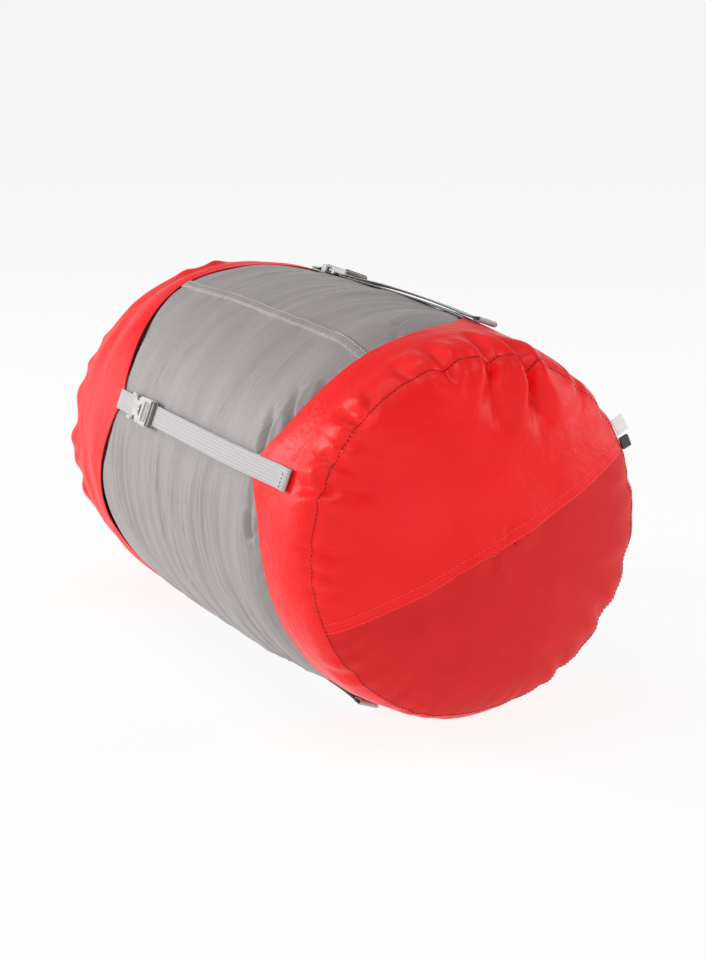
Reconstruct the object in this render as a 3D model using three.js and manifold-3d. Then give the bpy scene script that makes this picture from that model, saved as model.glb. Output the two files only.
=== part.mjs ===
// A rectangular sleeping bag, rolled and packed in its compression sack, lying on its side.
// The sack is a grey tube with a red base cap sewn on at +X and a red pull-off lid at -X.
// Four webbing straps with side-release buckles draw the lid and the base together.
// Millimetres, +Z up. The sack's axis runs along X, and the floor is z = 0.
import * as THREE from "three";
import { mergeVertices } from "three/addons/utils/BufferGeometryUtils.js";
import Module from "manifold-3d";

const wasm = await Module();
wasm.setup();
const DEG = Math.PI / 180;

// Packed sack
const AXIS_HEIGHT = 129; // axis above the floor; the underside is pressed flat by the weight
const WIDEST_X = -82;
const WIDEST_RADIUS = 136.5;
const LID_SEAM_X = -228;
const BASE_SEAM_X = 207;
const LID_TAPER = { drop: 11.3, power: 2.1 }; // how the radius falls from the widest place to each seam
const BASE_TAPER = { drop: 17.4, power: 3.4 };
const LID_DOME = 7.3;
const BASE_DOME = 27;
const CLOTH = 1.2; // thickness of a fabric wall
const GAP = 0.4; // clearance between neighbouring pieces
const CAP_GAP = 0.6; // between the tube and the caps over it
const CAP_TOP = CAP_GAP + CLOTH; // the caps' outer face above the tube's outer face
const AROUND = 60; // corners around the sack
const MOUTH = { x: -224, radius: 45 }; // gathered mouth of the tube, under the lid
const TUBE_END_X = 204.6;
const FLOOR_COVER = { lid: -82, base: 119, blend: 10 }; // where the caps cover the tube's underside
const PANEL = 1; // thickness of an end panel
const PANEL_LOWS = { tubeDisc: -1.3, lidDisc: 0.3, lower: 0.3, upper: 1.7 }; // inner faces

// Cap hems: each is drawn towards the middle of the sack at every strap
const LID_HEM = { x: -150, pull: "lidPull", sharpness: 1.3 };
const BASE_HEM = { x: 153, pull: "basePull", sharpness: 3 };

// Straps: the angle round the sack, how far the buckle stands towards +X, where the loose tail
// ends, and how far the tight strap draws each cap's hem
const STRAPS = {
  front: { angle: 159.5, buckleShift: 0, tailEnd: 178, lidPull: 58, basePull: -24 },
  top: { angle: 69.5, buckleShift: -38, tailEnd: 136, lidPull: 30, basePull: -45 },
  back: { angle: -20.5, buckleShift: -12, tailEnd: 150, lidPull: 45, basePull: -30 },
  under: { angle: 249.5, buckleShift: 0, tailEnd: 146, lidPull: 50, basePull: -24 },
};
const STRAP_HALF = 7.3;
const WEBBING = 1.4;
const LOWER_RUN = GAP + WEBBING / 2; // middle of the webbing that lies on the sack
const UPPER_RUN = LOWER_RUN + WEBBING + GAP; // middle of the webbing on top of it
const SPAN_STATIONS = [-10, 20, 60, 95, 112]; // shared by the tube and the straps between the caps
const TAIL_FOLD = 12;
const UNCLIP_TRAVEL = 20;
// The under strap and its buckle press a groove into the sack, from one radius to the other
const GROOVE = { radius: 125, endRadius: 130, fadeX: 2, fade: 90, halfAngle: 5, shoulder: 12 };

// Buckle, along X and above the skin under it
const BUCKLE = { half: 9.4, inner: 7.7, low: 1.0, high: 6.8 };
const SOCKET = { rear: -66, bar: -63.5, plate: -60.2, window: -55, collar: -48.8, mouth: -45 };
const PLUG = { front: -44.6, wall: -42.4, bar: -37.5, grip: -29, rear: -22 };
const SOCKET_BAR = { high: 3.4, radius: 1.2 };
const PLUG_BAR = { high: 4.6, radius: 1.5 };
const WINDOW_HALF = 4.8;
const CAVITY = { half: 7.2, low: 2.4, high: 5.4, end: -58 };
const GUIDE = { half: 2.2, low: 3, high: 4.8 }; // the plug's middle tongue
const LATCH = { low: 2.9, high: 4.9 };
const GRIP = { low: 4.2, rise: 0.8 };

// Flaps sewn into the base seam
const TAB = { angle: 24, width: 8, reach: 6.5, thickness: 2.4 };
const LABEL = { angle: 30, width: 12, reach: 9, thickness: 0.8 };

// Rolled sleeping bag
const QUILT = { cloth: 1.5, fill: 23, turns: 3, core: 14, stepDegrees: 20 };
const QUILT_CLEARANCE = 5;
const QUILT_ENDS = [-212, 196];
const QUILT_SQUASH = 0.94; // the lower half of the roll is this much flatter
const ZIP = { width: 5, thickness: 3, depth: 12 };

const colour = (hex, roughness) =>
  new THREE.MeshStandardMaterial({ color: hex, roughness, metalness: 0 });
const MATERIALS = {
  redCoated: colour(0xf03030, 0.35),
  redMatte: colour(0xc92424, 0.7),
  greyRipstop: colour(0x9a948f, 0.6),
  webbing: colour(0xd6d2d3, 0.8),
  plastic: colour(0xc9c9c5, 0.45),
  label: colour(0xf4f4f2, 0.8),
  quiltShell: colour(0x8f8f94, 0.7),
  quiltLining: colour(0xb23a34, 0.8),
  quiltFill: colour(0xf0f0ec, 0.95),
  zip: colour(0x303032, 0.5),
};

const clamp01 = (v) => Math.min(1, Math.max(0, v));
const smooth = (v) => clamp01(v) ** 2 * (3 - 2 * clamp01(v));

// ---------- the packed shape ----------

function radiusAt(x) {
  const [taper, end] = x < WIDEST_X ? [LID_TAPER, LID_SEAM_X] : [BASE_TAPER, BASE_SEAM_X];
  const along = Math.abs((x - WIDEST_X) / (end - WIDEST_X));
  return WIDEST_RADIUS - taper.drop * along ** taper.power;
}

// Degrees between an angle and the nearest strap, 0 to 45
function fromStrap(angle) {
  const turned = (((angle - STRAPS.front.angle) % 90) + 90) % 90;
  return Math.min(turned, 90 - turned);
}

// Degrees between two angles, 0 to 180
const turnBetween = (a, b) => Math.abs(((((a - b) % 360) + 540) % 360) - 180);

function hemX(hem, angle) {
  const strap = Object.values(STRAPS).find((s) => turnBetween(angle, s.angle) <= 45);
  return hem.x + strap[hem.pull] * (1 - fromStrap(angle) / 45) ** hem.sharpness;
}

// The skin's radius, with the groove under the sack
function skinRadius(x, angle) {
  const radius = radiusAt(x);
  const turned = turnBetween(angle, STRAPS.under.angle);
  const across = 1 - smooth((turned - GROOVE.halfAngle) / GROOVE.shoulder);
  const rise = (GROOVE.endRadius - GROOVE.radius) * smooth((x - GROOVE.fadeX) / GROOVE.fade);
  return radius - Math.max(0, radius - GROOVE.radius - rise) * across;
}

// 1 where a cap covers the tube, 0 between the caps
const coverAt = (x) =>
  smooth((FLOOR_COVER.lid - x) / FLOOR_COVER.blend) + smooth((x - FLOOR_COVER.base) / FLOOR_COVER.blend);

// A point at an offset outside the tube's outer face, pressed flat by the floor
function skin(x, angle, offset) {
  const radius = skinRadius(x, angle) + offset;
  const floor = offset - CAP_TOP * coverAt(x) + AXIS_HEIGHT;
  const height = radius * Math.sin(angle * DEG);
  return new THREE.Vector3(x, radius * Math.cos(angle * DEG), Math.max(height, -floor));
}

const angles = Array.from({ length: AROUND }, (_, k) => STRAPS.under.angle + (k * 360) / AROUND);
const ring = (x, offset) => angles.map((a) => skin(typeof x === "function" ? x(a) : x, a, offset));

// A ring drawn in towards the axis on a domed end
function domeRing(seamX, share, dome, offset) {
  const bulge = dome * (1 - share ** 2) + offset * Math.sign(dome);
  return ring(seamX, 0).map((p) => new THREE.Vector3(seamX + bulge, p.y * share, p.z * share));
}

// ---------- solids ----------

function geometryOf(vertices, triangles) {
  const geometry = new THREE.BufferGeometry();
  const numbers = vertices.flatMap((v) => [v.x, v.y, v.z]);
  geometry.setAttribute("position", new THREE.Float32BufferAttribute(numbers, 3));
  geometry.setIndex(triangles.flat());
  return facingOut(geometry);
}

function facingOut(geometry) {
  const p = geometry.getAttribute("position");
  const index = geometry.index.array;
  const [a, b, c] = [new THREE.Vector3(), new THREE.Vector3(), new THREE.Vector3()];
  let volume = 0;
  for (let i = 0; i < index.length; i += 3) {
    a.fromBufferAttribute(p, index[i]);
    b.fromBufferAttribute(p, index[i + 1]);
    c.fromBufferAttribute(p, index[i + 2]);
    volume += a.dot(b.cross(c));
  }
  if (volume < 0) {
    for (let i = 0; i < index.length; i += 3) {
      [index[i], index[i + 1]] = [index[i + 1], index[i]];
    }
  }
  return geometry;
}

// A closed surface through rings of points. A ring of one point is a pole;
// without poles the last ring joins the first.
function loft(rings) {
  const starts = [];
  const vertices = [];
  for (const r of rings) {
    starts.push(vertices.length);
    vertices.push(...r);
  }
  const triangles = [];
  const closed = rings[0].length > 1;
  for (let i = 0; i < rings.length - (closed ? 0 : 1); i++) {
    const j = (i + 1) % rings.length;
    const count = Math.max(rings[i].length, rings[j].length);
    for (let k = 0; k < count; k++) {
      const next = (k + 1) % count;
      const corner = (ringIndex, place) => starts[ringIndex] + (place % rings[ringIndex].length);
      if (rings[i].length > 1) triangles.push([corner(i, k), corner(i, next), corner(j, k)]);
      if (rings[j].length > 1) triangles.push([corner(i, next), corner(j, next), corner(j, k)]);
    }
  }
  return geometryOf(vertices, triangles);
}

function toManifold(geometry) {
  const plain = geometry.clone();
  plain.deleteAttribute("normal");
  plain.deleteAttribute("uv");
  const merged = mergeVertices(plain, 1e-4);
  return new wasm.Manifold(
    new wasm.Mesh({
      numProp: 3,
      vertProperties: merged.attributes.position.array,
      triVerts: new Uint32Array(merged.index.array),
    }),
  );
}

function fromManifold(solid) {
  const mesh = solid.getMesh();
  const geometry = new THREE.BufferGeometry();
  geometry.setAttribute("position", new THREE.BufferAttribute(mesh.vertProperties, 3));
  geometry.setIndex(new THREE.BufferAttribute(mesh.triVerts, 1));
  return geometry;
}

// A box between two corners
function box(low, high) {
  const size = high.map((v, i) => v - low[i]);
  const middle = high.map((v, i) => (v + low[i]) / 2);
  return new THREE.BoxGeometry(...size).translate(...middle);
}

// A round bar across the strap, centred at (x, high)
function crossBar(x, high, radius, half) {
  return new THREE.CylinderGeometry(radius, radius, half * 2, 12).translate(x, 0, high);
}

// Webbing of the strap's width along a path of [x, height] points
function webbingAlong(path, thickness = WEBBING) {
  const side = (sign) =>
    path.map((p, i) => {
      const before = path[Math.max(0, i - 1)];
      const after = path[Math.min(path.length - 1, i + 1)];
      const [dx, dz] = [after[0] - before[0], after[1] - before[1]];
      const length = Math.hypot(dx, dz);
      const out = (sign * thickness) / 2 / length;
      return new THREE.Vector2(p[0] - dz * out, p[1] + dx * out);
    });
  const outline = new THREE.Shape([...side(1), ...side(-1).reverse()]);
  const solid = new THREE.ExtrudeGeometry(outline, { depth: STRAP_HALF * 2, bevelEnabled: false });
  return solid.rotateX(Math.PI / 2).translate(0, STRAP_HALF, 0);
}

const sack = new THREE.Group();
sack.position.z = AXIS_HEIGHT;

function addMesh(parent, name, geometry, material) {
  const mesh = new THREE.Mesh(geometry, material);
  mesh.name = name;
  parent.add(mesh);
}

// ---------- grey tube ----------

function tubeShell() {
  const wall = [MOUTH.x, -200, -170, -140, -110, -92, -82, -40, ...SPAN_STATIONS, 130, 170, TUBE_END_X];
  const outside = wall.map((x) => ring(x, 0));
  const inside = wall.map((x) => ring(x, -CLOTH)).reverse();
  const gather = [0.85, 0.6, MOUTH.radius / WIDEST_RADIUS];
  const lip = (offset) => gather.map((share) => domeRing(MOUTH.x, share, -2, offset));
  return loft([...lip(0).reverse(), ...outside, ...inside, ...lip(-CLOTH)]);
}

function disc(seamX, dome, low, thickness, shares) {
  const faces = [low, low + thickness].map((offset) =>
    shares.map((share) => domeRing(seamX, share, dome, offset)),
  );
  const pole = (offset) => [
    new THREE.Vector3(seamX + dome + offset * Math.sign(dome), 0, 0),
  ];
  return loft([pole(low), ...faces[0], ...faces[1].reverse(), pole(low + thickness)]);
}

addMesh(sack, "tube_shell", tubeShell(), MATERIALS.greyRipstop);
addMesh(
  sack,
  "tube_base_disc",
  disc(BASE_SEAM_X, BASE_DOME, PANEL_LOWS.tubeDisc, PANEL * 0.9, [0.4, 0.75, 0.985]),
  MATERIALS.greyRipstop,
);

// ---------- red caps ----------

// The first rings follow the scalloped hem, the others stand where the tube's rings do
function capBand(hem, stations) {
  const scalloped = [0, 0.5].map((share) => (angle) => hemX(hem, angle) * (1 - share) + stations[0] * share);
  const xs = [...scalloped, ...stations];
  if (hem === LID_HEM) xs.reverse(); // towards +X, as the tube's rings run
  const faces = [CAP_GAP, CAP_TOP].map((offset) => xs.map((x) => ring(x, offset)));
  return loft([...faces[0], ...faces[1].reverse()]);
}

// Half of the base end: the part of a domed disc on one side of the overlap line,
// which runs through the axis midway between the straps
const OVERLAP_ANGLE = STRAPS.top.angle - 45;
const OVERLAP = 8;
function endPanel(low, upper) {
  const whole = toManifold(disc(BASE_SEAM_X, BASE_DOME, low, PANEL, [0.35, 0.7, 1]));
  const reach = 2 * WIDEST_RADIUS;
  const cutter = box([0, -reach, upper ? -OVERLAP / 2 : -reach], [reach, reach, upper ? reach : OVERLAP / 2]);
  cutter.rotateX(OVERLAP_ANGLE * DEG).translate(BASE_SEAM_X - 2, 0, 0);
  return fromManifold(whole.intersect(toManifold(cutter)));
}

addMesh(sack, "base_band", capBand(BASE_HEM, [170, BASE_SEAM_X]), MATERIALS.redCoated);
addMesh(sack, "base_lower_panel", endPanel(PANEL_LOWS.lower, false), MATERIALS.redMatte);
addMesh(sack, "base_upper_panel", endPanel(PANEL_LOWS.upper, true), MATERIALS.redCoated);
addMesh(sack, "lid_band", capBand(LID_HEM, [-170, -200, LID_SEAM_X]), MATERIALS.redCoated);
addMesh(
  sack,
  "lid_end_disc",
  disc(LID_SEAM_X, -LID_DOME, PANEL_LOWS.lidDisc, CLOTH, [0.35, 0.7, 1]),
  MATERIALS.redCoated,
);

// ---------- straps and buckles ----------
// Each strap is built on its own turned group: X along the sack, Y across the strap, Z outwards.

// The least height that clears the skin here and over the buckle's unclipping travel
function clearHeight(x, angle) {
  const steps = [0, 0.25, 0.5, 0.75, 1];
  return Math.max(...steps.map((s) => skinRadius(Math.min(BASE_SEAM_X, x + s * UNCLIP_TRAVEL * 1.1), angle)));
}

function loadStrap({ angle, buckleShift }) {
  const end = hemX(BASE_HEM, angle) - GAP;
  const xs = [PLUG.bar + buckleShift, ...SPAN_STATIONS.filter((x) => x < end), end];
  return webbingAlong(xs.map((x) => [x, skinRadius(x, angle) + LOWER_RUN]));
}

function strapTail({ angle, buckleShift, tailEnd }, floor) {
  const bend = PLUG_BAR.radius + GAP + WEBBING / 2;
  const wrap = [210, 180, 150, 120, 90, 60, 30, 0, -25].map((turn) => [
    PLUG.bar + buckleShift + bend * Math.cos(turn * DEG),
    floor + PLUG_BAR.high + bend * Math.sin(turn * DEG),
  ]);
  const under = [PLUG.grip - 2, PLUG.rear].map((x) => [x + buckleShift, floor + UPPER_RUN]);
  const foldStart = tailEnd - TAIL_FOLD;
  const xs = [...[...SPAN_STATIONS, 130, 150].filter((x) => x < foldStart), foldStart];
  const rise = GAP * 2;
  const lying = xs.map((x) => [x, clearHeight(x, angle) + UPPER_RUN + rise]);
  const fold = [foldStart, tailEnd].map((x) => [
    x,
    clearHeight(x, angle) + UPPER_RUN + rise + WEBBING / 2,
  ]);
  const folded = toManifold(webbingAlong(fold, WEBBING * 2));
  return fromManifold(toManifold(webbingAlong([...wrap, ...under, ...lying])).add(folded));
}

function lidWebbing({ angle, buckleShift }, floor) {
  const start = hemX(LID_HEM, angle) + GAP;
  const bend = SOCKET_BAR.radius + GAP + WEBBING / 2;
  const wrap = [-90, -60, -30, 0, 30, 60, 90].map((turn) => [
    SOCKET.bar + buckleShift + bend * Math.cos(turn * DEG),
    floor + SOCKET_BAR.high + bend * Math.sin(turn * DEG),
  ]);
  const path = [
    [start, floor + LOWER_RUN],
    ...wrap,
    [SOCKET.rear + buckleShift - 6, floor + UPPER_RUN + 1],
    [SOCKET.rear + buckleShift - 12, floor + UPPER_RUN],
    [start, floor + UPPER_RUN],
  ];
  return webbingAlong(path);
}

// Outline in X and Y, raised from low to high
function raised(points, low, high) {
  const shape = new THREE.Shape(points.map(([x, y]) => new THREE.Vector2(x, y)));
  return new THREE.ExtrudeGeometry(shape, { depth: high - low, bevelEnabled: false }).translate(0, 0, low);
}

function buckleSocket() {
  const { half, inner, low, high } = BUCKLE;
  const edge = [
    [SOCKET.plate, half],
    [SOCKET.plate + 1.6, half - 0.6],
    [SOCKET.window - 1.8, WINDOW_HALF + 0.6],
    [SOCKET.window, WINDOW_HALF],
    [SOCKET.window + 1.8, WINDOW_HALF + 0.6],
    [SOCKET.collar, half - 0.5],
    [SOCKET.collar + 0.8, half],
    [SOCKET.mouth, half],
  ];
  const outline = [...edge, ...edge.map(([x, y]) => [x, -y]).reverse()].reverse();
  let solid = toManifold(raised(outline, low, high));
  const cavity = box([CAVITY.end, -CAVITY.half, CAVITY.low], [0, CAVITY.half, CAVITY.high]);
  const windows = box([CAVITY.end, -half - 1, CAVITY.low], [SOCKET.collar, half + 1, CAVITY.high]);
  solid = solid.subtract(toManifold(cavity)).subtract(toManifold(windows));
  for (const [near, far] of [[-half, -inner], [inner, half]]) {
    solid = solid.add(toManifold(box([SOCKET.rear, near, low], [SOCKET.plate + 0.5, far, high])));
  }
  const bar = crossBar(SOCKET.bar, SOCKET_BAR.high, SOCKET_BAR.radius, inner + 0.5);
  return fromManifold(solid.add(toManifold(bar)));
}

function bucklePlug() {
  const { half, inner, low, high } = BUCKLE;
  const pieces = [
    box([PLUG.front, -half, CAVITY.low], [PLUG.wall, half, high]),
    box([PLUG.front, -half, low], [PLUG.rear, -inner, high]),
    box([PLUG.front, inner, low], [PLUG.rear, half, high]),
    box([PLUG.grip, -half, GRIP.low], [PLUG.rear, half, high + GRIP.rise]),
    crossBar(PLUG.bar, PLUG_BAR.high, PLUG_BAR.radius, inner + 0.5),
    box([CAVITY.end + 1, -GUIDE.half, GUIDE.low], [PLUG.front + 0.5, GUIDE.half, GUIDE.high]),
  ];
  const solid = pieces.map(toManifold).reduce((whole, piece) => whole.add(piece));
  return fromManifold(solid);
}

// A springy arm beside the guide tongue, with a barb behind the socket's collar
function latchArm(side) {
  const root = PLUG.front - 0.3;
  const points = [
    [root, 6.8],
    [root, 4.6],
    [-55, 4.4],
    [-57, 5.2],
    [-56.6, 7.4],
    [SOCKET.collar - 1.6, 8.6],
    [SOCKET.collar - 0.5, 8.4],
    [SOCKET.collar - 0.5, 6.8],
  ].map(([x, y]) => [x, y * side]);
  return raised(side > 0 ? points : points.reverse(), LATCH.low, LATCH.high);
}

for (const [place, strap] of Object.entries(STRAPS)) {
  const turned = new THREE.Group();
  turned.rotation.x = (strap.angle - 90) * DEG;
  sack.add(turned);
  const floor = skinRadius(SOCKET.mouth + strap.buckleShift, strap.angle);
  const addBuckle = (name, geometry) =>
    addMesh(turned, name, geometry.translate(strap.buckleShift, 0, floor), MATERIALS.plastic);
  addMesh(turned, `load_strap_${place}`, loadStrap(strap), MATERIALS.webbing);
  addMesh(turned, `strap_tail_${place}`, strapTail(strap, floor), MATERIALS.webbing);
  addMesh(turned, `lid_webbing_${place}`, lidWebbing(strap, floor), MATERIALS.webbing);
  addBuckle(`buckle_socket_${place}`, buckleSocket());
  addBuckle(`buckle_plug_${place}`, bucklePlug());
  addBuckle(`latch_arm_${place}_a`, latchArm(1));
  addBuckle(`latch_arm_${place}_b`, latchArm(-1));
}

// ---------- tab and label sewn into the base seam ----------

function seamFlap(name, { angle, width, reach, thickness }, material) {
  const flap = new THREE.Group();
  flap.rotation.x = (angle - 90) * DEG;
  sack.add(flap);
  const x = BASE_SEAM_X - 4;
  const foot = skinRadius(x - thickness, angle) + CAP_TOP + GAP;
  addMesh(flap, name, box([x - thickness, -width / 2, foot], [x, width / 2, foot + reach]), material);
}
seamFlap("seam_tab", TAB, MATERIALS.webbing);
seamFlap("blank_label", LABEL, MATERIALS.label);

// ---------- the rolled sleeping bag ----------

// A closed spiral strip at a depth inside the rolled quilt, from its outer end inwards
function spiralStrip(depth, thickness) {
  const pitch = QUILT.cloth * 2 + QUILT.fill + GAP * 3;
  const outerRadius = QUILT.core + pitch * (QUILT.turns + 1);
  const steps = (QUILT.turns * 360) / QUILT.stepDegrees;
  const scale = (WIDEST_RADIUS - QUILT_CLEARANCE) / outerRadius;
  const edge = (d) =>
    Array.from({ length: steps + 1 }, (_, k) => {
      const turn = k * QUILT.stepDegrees;
      const radius = scale * (outerRadius - d - (pitch * turn) / 360);
      return new THREE.Vector2(radius * Math.cos(turn * DEG), radius * Math.sin(turn * DEG));
    });
  return new THREE.Shape([...edge(depth), ...edge(depth + thickness).reverse()]);
}

// A flat X moved out by the domed ends
function domedX(flatX, share) {
  const dome = flatX > 0 ? (BASE_DOME * flatX) / QUILT_ENDS[1] : (LID_DOME * flatX) / -QUILT_ENDS[0];
  return flatX + dome * 0.7 * (1 - share ** 2);
}

// Extruded along X, then shaped to the sack's taper, domed ends and flat underside
function rolled(shape, [from, to], steps) {
  const solid = new THREE.ExtrudeGeometry(shape, { depth: 1, steps, bevelEnabled: false });
  solid.deleteAttribute("normal");
  solid.deleteAttribute("uv");
  const p = solid.getAttribute("position");
  for (let i = 0; i < p.count; i++) {
    const [y, z] = [p.getX(i), p.getY(i)];
    const flatX = from + (to - from) * p.getZ(i);
    const scale = (radiusAt(flatX) - QUILT_CLEARANCE) / (WIDEST_RADIUS - QUILT_CLEARANCE);
    const x = domedX(flatX, Math.hypot(y, z) / WIDEST_RADIUS);
    p.setXYZ(i, x, y * scale, z * scale * (z < 0 ? QUILT_SQUASH : 1));
  }
  return facingOut(mergeVertices(solid, 1e-4));
}

const fillDepth = QUILT.cloth + GAP;
const liningDepth = fillDepth + QUILT.fill + GAP;
for (const [name, depth, thickness, material] of [
  ["quilt_shell", 0, QUILT.cloth, MATERIALS.quiltShell],
  ["quilt_fill", fillDepth, QUILT.fill, MATERIALS.quiltFill],
  ["quilt_lining", liningDepth, QUILT.cloth, MATERIALS.quiltLining],
]) {
  addMesh(sack, name, rolled(spiralStrip(depth, thickness), QUILT_ENDS, 4), material);
}

// The zip runs along the rolled edge at the mouth, and its slider waits at the outer end
const zipFrom = QUILT_ENDS[0] - GAP - ZIP.width;
const zipChain = spiralStrip(ZIP.depth, ZIP.thickness);
addMesh(sack, "zip_chain", rolled(zipChain, [zipFrom, zipFrom + ZIP.width], 1), MATERIALS.zip);
const sliderY = radiusAt(zipFrom) - QUILT_CLEARANCE - ZIP.depth;
const slider = box([zipFrom - 3.5, sliderY - 6, -14], [zipFrom - 1.4, sliderY + 2, -4]);
addMesh(sack, "zip_slider", slider, MATERIALS.zip);

export default sack;
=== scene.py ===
"""A rectangular sleeping bag packed in its compression sack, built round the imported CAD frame.

The sack lies along X with its base cap at +X and its pull-off lid at -X. Shapes are worked out
in millimetres and turned into metres where a mesh is made.
"""

import math

import bmesh
import bpy
import numpy as np
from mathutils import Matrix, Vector
from mathutils.bvhtree import BVHTree


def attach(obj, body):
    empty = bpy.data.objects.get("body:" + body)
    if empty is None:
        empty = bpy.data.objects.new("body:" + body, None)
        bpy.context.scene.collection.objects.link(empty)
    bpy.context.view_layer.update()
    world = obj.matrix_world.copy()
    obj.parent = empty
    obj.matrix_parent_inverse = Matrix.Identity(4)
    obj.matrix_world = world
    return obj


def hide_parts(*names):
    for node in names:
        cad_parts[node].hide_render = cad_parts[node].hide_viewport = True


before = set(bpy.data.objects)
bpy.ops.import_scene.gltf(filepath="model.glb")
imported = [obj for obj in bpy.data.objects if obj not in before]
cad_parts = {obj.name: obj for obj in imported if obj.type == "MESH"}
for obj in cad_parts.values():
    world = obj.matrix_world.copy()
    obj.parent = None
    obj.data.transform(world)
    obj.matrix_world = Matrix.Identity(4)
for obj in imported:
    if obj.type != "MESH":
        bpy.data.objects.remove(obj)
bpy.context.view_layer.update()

MM = 0.001
TAU = 2 * math.pi

# ---------- driving dimensions, the same as the CAD model's ----------

AXIS_HEIGHT = 129.0
WIDEST_X, WIDEST_RADIUS = -82.0, 136.5
LID_SEAM_X, BASE_SEAM_X = -228.0, 207.0
LID_DROP, LID_POWER = 11.3, 2.1
BASE_DROP, BASE_POWER = 17.4, 3.4
LID_DOME, BASE_DOME = 7.3, 27.0
# The straps: angle round the sack, the buckle's shift towards +X, the end of the loose tail,
# and how far the tight strap draws each cap's hem
STRAPS = {
    "front": {"angle": 159.5, "shift": 0.0, "tail_end": 178.0, "lid": 58.0, "base": -24.0},
    "top": {"angle": 69.5, "shift": -38.0, "tail_end": 136.0, "lid": 30.0, "base": -45.0},
    "back": {"angle": -20.5, "shift": -12.0, "tail_end": 150.0, "lid": 45.0, "base": -30.0},
    "under": {"angle": 249.5, "shift": 0.0, "tail_end": 146.0, "lid": 50.0, "base": -24.0},
}
LID_HEM = {"cap": "lid", "x": -150.0, "sharpness": 1.3}
BASE_HEM = {"cap": "base", "x": 153.0, "sharpness": 3.0}
OVERLAP_ANGLE = STRAPS["top"]["angle"] - 45  # the end panels' overlap line
SEAM_ANGLE = 114.5  # felled seam along the top of the tube
GROOVE = {"radius": 125.0, "end_radius": 130.0, "fade_x": 2.0, "fade": 90.0, "half": 5.0, "shoulder": 12.0}
STRAP_HALF, WEBBING = 7.4, 1.3
LOWER_RUN, UPPER_RUN = 1.1, 2.9  # middles of the two layers of webbing above the skin
CAP_TOP = 1.6  # outer face of the caps above the tube's skin
LID_LEAN = {"from": -150.0, "length": 78.0, "shorter": 5.0, "front": 3.5, "lower": 3.0}


def smooth(v):
    v = np.clip(v, 0.0, 1.0)
    return v * v * (3 - 2 * v)


def radius_at(x):
    """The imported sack's radius along its length."""
    x = np.asarray(x, float)
    lid = np.clip((WIDEST_X - x) / (WIDEST_X - LID_SEAM_X), 0, None)
    base = np.clip((x - WIDEST_X) / (BASE_SEAM_X - WIDEST_X), 0, None)
    return WIDEST_RADIUS - LID_DROP * lid**LID_POWER - BASE_DROP * base**BASE_POWER


def turn_between(a, b):
    """Degrees between two angles, 0 to 180."""
    return np.abs(np.mod(np.asarray(a, float) - b + 180, 360) - 180)


def from_strap(angle):
    """Degrees to the nearest strap."""
    return np.minimum.reduce([turn_between(angle, s["angle"]) for s in STRAPS.values()])


def beside_straps(angle):
    """0 under a strap and 1 between the straps, where the caps' hems can press in."""
    return smooth(from_strap(angle) / 9 - 0.5)


def hem_x(hem, angle):
    """A cap's hem, drawn towards the middle of the sack at every strap."""
    pulls = [s[hem["cap"]] * np.clip(1 - turn_between(angle, s["angle"]) / 45, 0, 1) ** hem["sharpness"]
             for s in STRAPS.values()]
    return hem["x"] + sum(pulls)


def skin_radius(x, angle):
    """The tube's radius, with the groove that the under strap presses."""
    radius = radius_at(x)
    turned = turn_between(angle, STRAPS["under"]["angle"])
    across = 1 - smooth((turned - GROOVE["half"]) / GROOVE["shoulder"])
    rise = (GROOVE["end_radius"] - GROOVE["radius"]) * smooth((x - GROOVE["fade_x"]) / GROOVE["fade"])
    return radius - np.maximum(0, radius - GROOVE["radius"] - rise) * across


FLOOR_SOFTNESS = 3.0  # mm over which a wall turns from round to flat on the floor


def place(x, angle, radius, lift=0.0):
    """Points on the sack at a radius, pressed flat lift mm above the floor. The lid's end
    leans: the straps pull its upper side and its front in further."""
    a = np.radians(angle)
    y, z = radius * np.cos(a), radius * np.sin(a) + AXIS_HEIGHT
    above = z - lift
    pressed = 0.5 * (above + np.sqrt(above**2 + FLOOR_SOFTNESS**2)) + lift
    z = np.where(above > 8 * FLOOR_SOFTNESS, z, pressed)
    lean = smooth((LID_LEAN["from"] - x) / LID_LEAN["length"])
    height = (z - AXIS_HEIGHT) / WIDEST_RADIUS
    x = x + lean * (LID_LEAN["shorter"] * (1 + height) + LID_LEAN["front"] * (1 - y / WIDEST_RADIUS))
    z = z - LID_LEAN["lower"] * lean * (1 + height) / 2
    return np.stack(np.broadcast_arrays(x, y, z), -1)


# ---------- smooth random fields, periodic around the sack ----------


def waves(seed, count, lengths, turns):
    """A field f(x, angle) of about -1 to 1 with waves of those lengths in mm along X,
    and at most that many turns around the sack."""
    rng = np.random.default_rng(seed)
    length = np.exp(rng.uniform(np.log(lengths[0]), np.log(lengths[1]), count))
    sign = rng.choice([-1, 1], count)
    around = rng.integers(-turns, turns + 1, count)
    phase = rng.uniform(0, TAU, count)

    def field(x, angle):
        a = np.radians(angle)
        total = np.zeros(np.broadcast(x, a).shape)
        for k in range(count):
            total += np.cos(TAU * x / length[k] * sign[k] + around[k] * a + phase[k])
        return total / math.sqrt(count)

    return field


# ---------- mesh helpers ----------


def link_object(name, data):
    obj = bpy.data.objects.new(name, data)
    bpy.context.scene.collection.objects.link(obj)
    return obj


def mesh_object(name, points, faces, material, shade=True):
    mesh = bpy.data.meshes.new(name)
    mesh.from_pydata([tuple(p) for p in np.asarray(points) * MM], [], faces)
    mesh.validate()
    if shade:
        mesh.shade_smooth()
    mesh.materials.append(material)
    return link_object(name, mesh)


def grid_faces(rows, columns, wrap):
    faces = []
    for i in range(rows - 1):
        for j in range(columns if wrap else columns - 1):
            k = (j + 1) % columns
            faces.append((i * columns + j, i * columns + k, (i + 1) * columns + k, (i + 1) * columns + j))
    return faces


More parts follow.
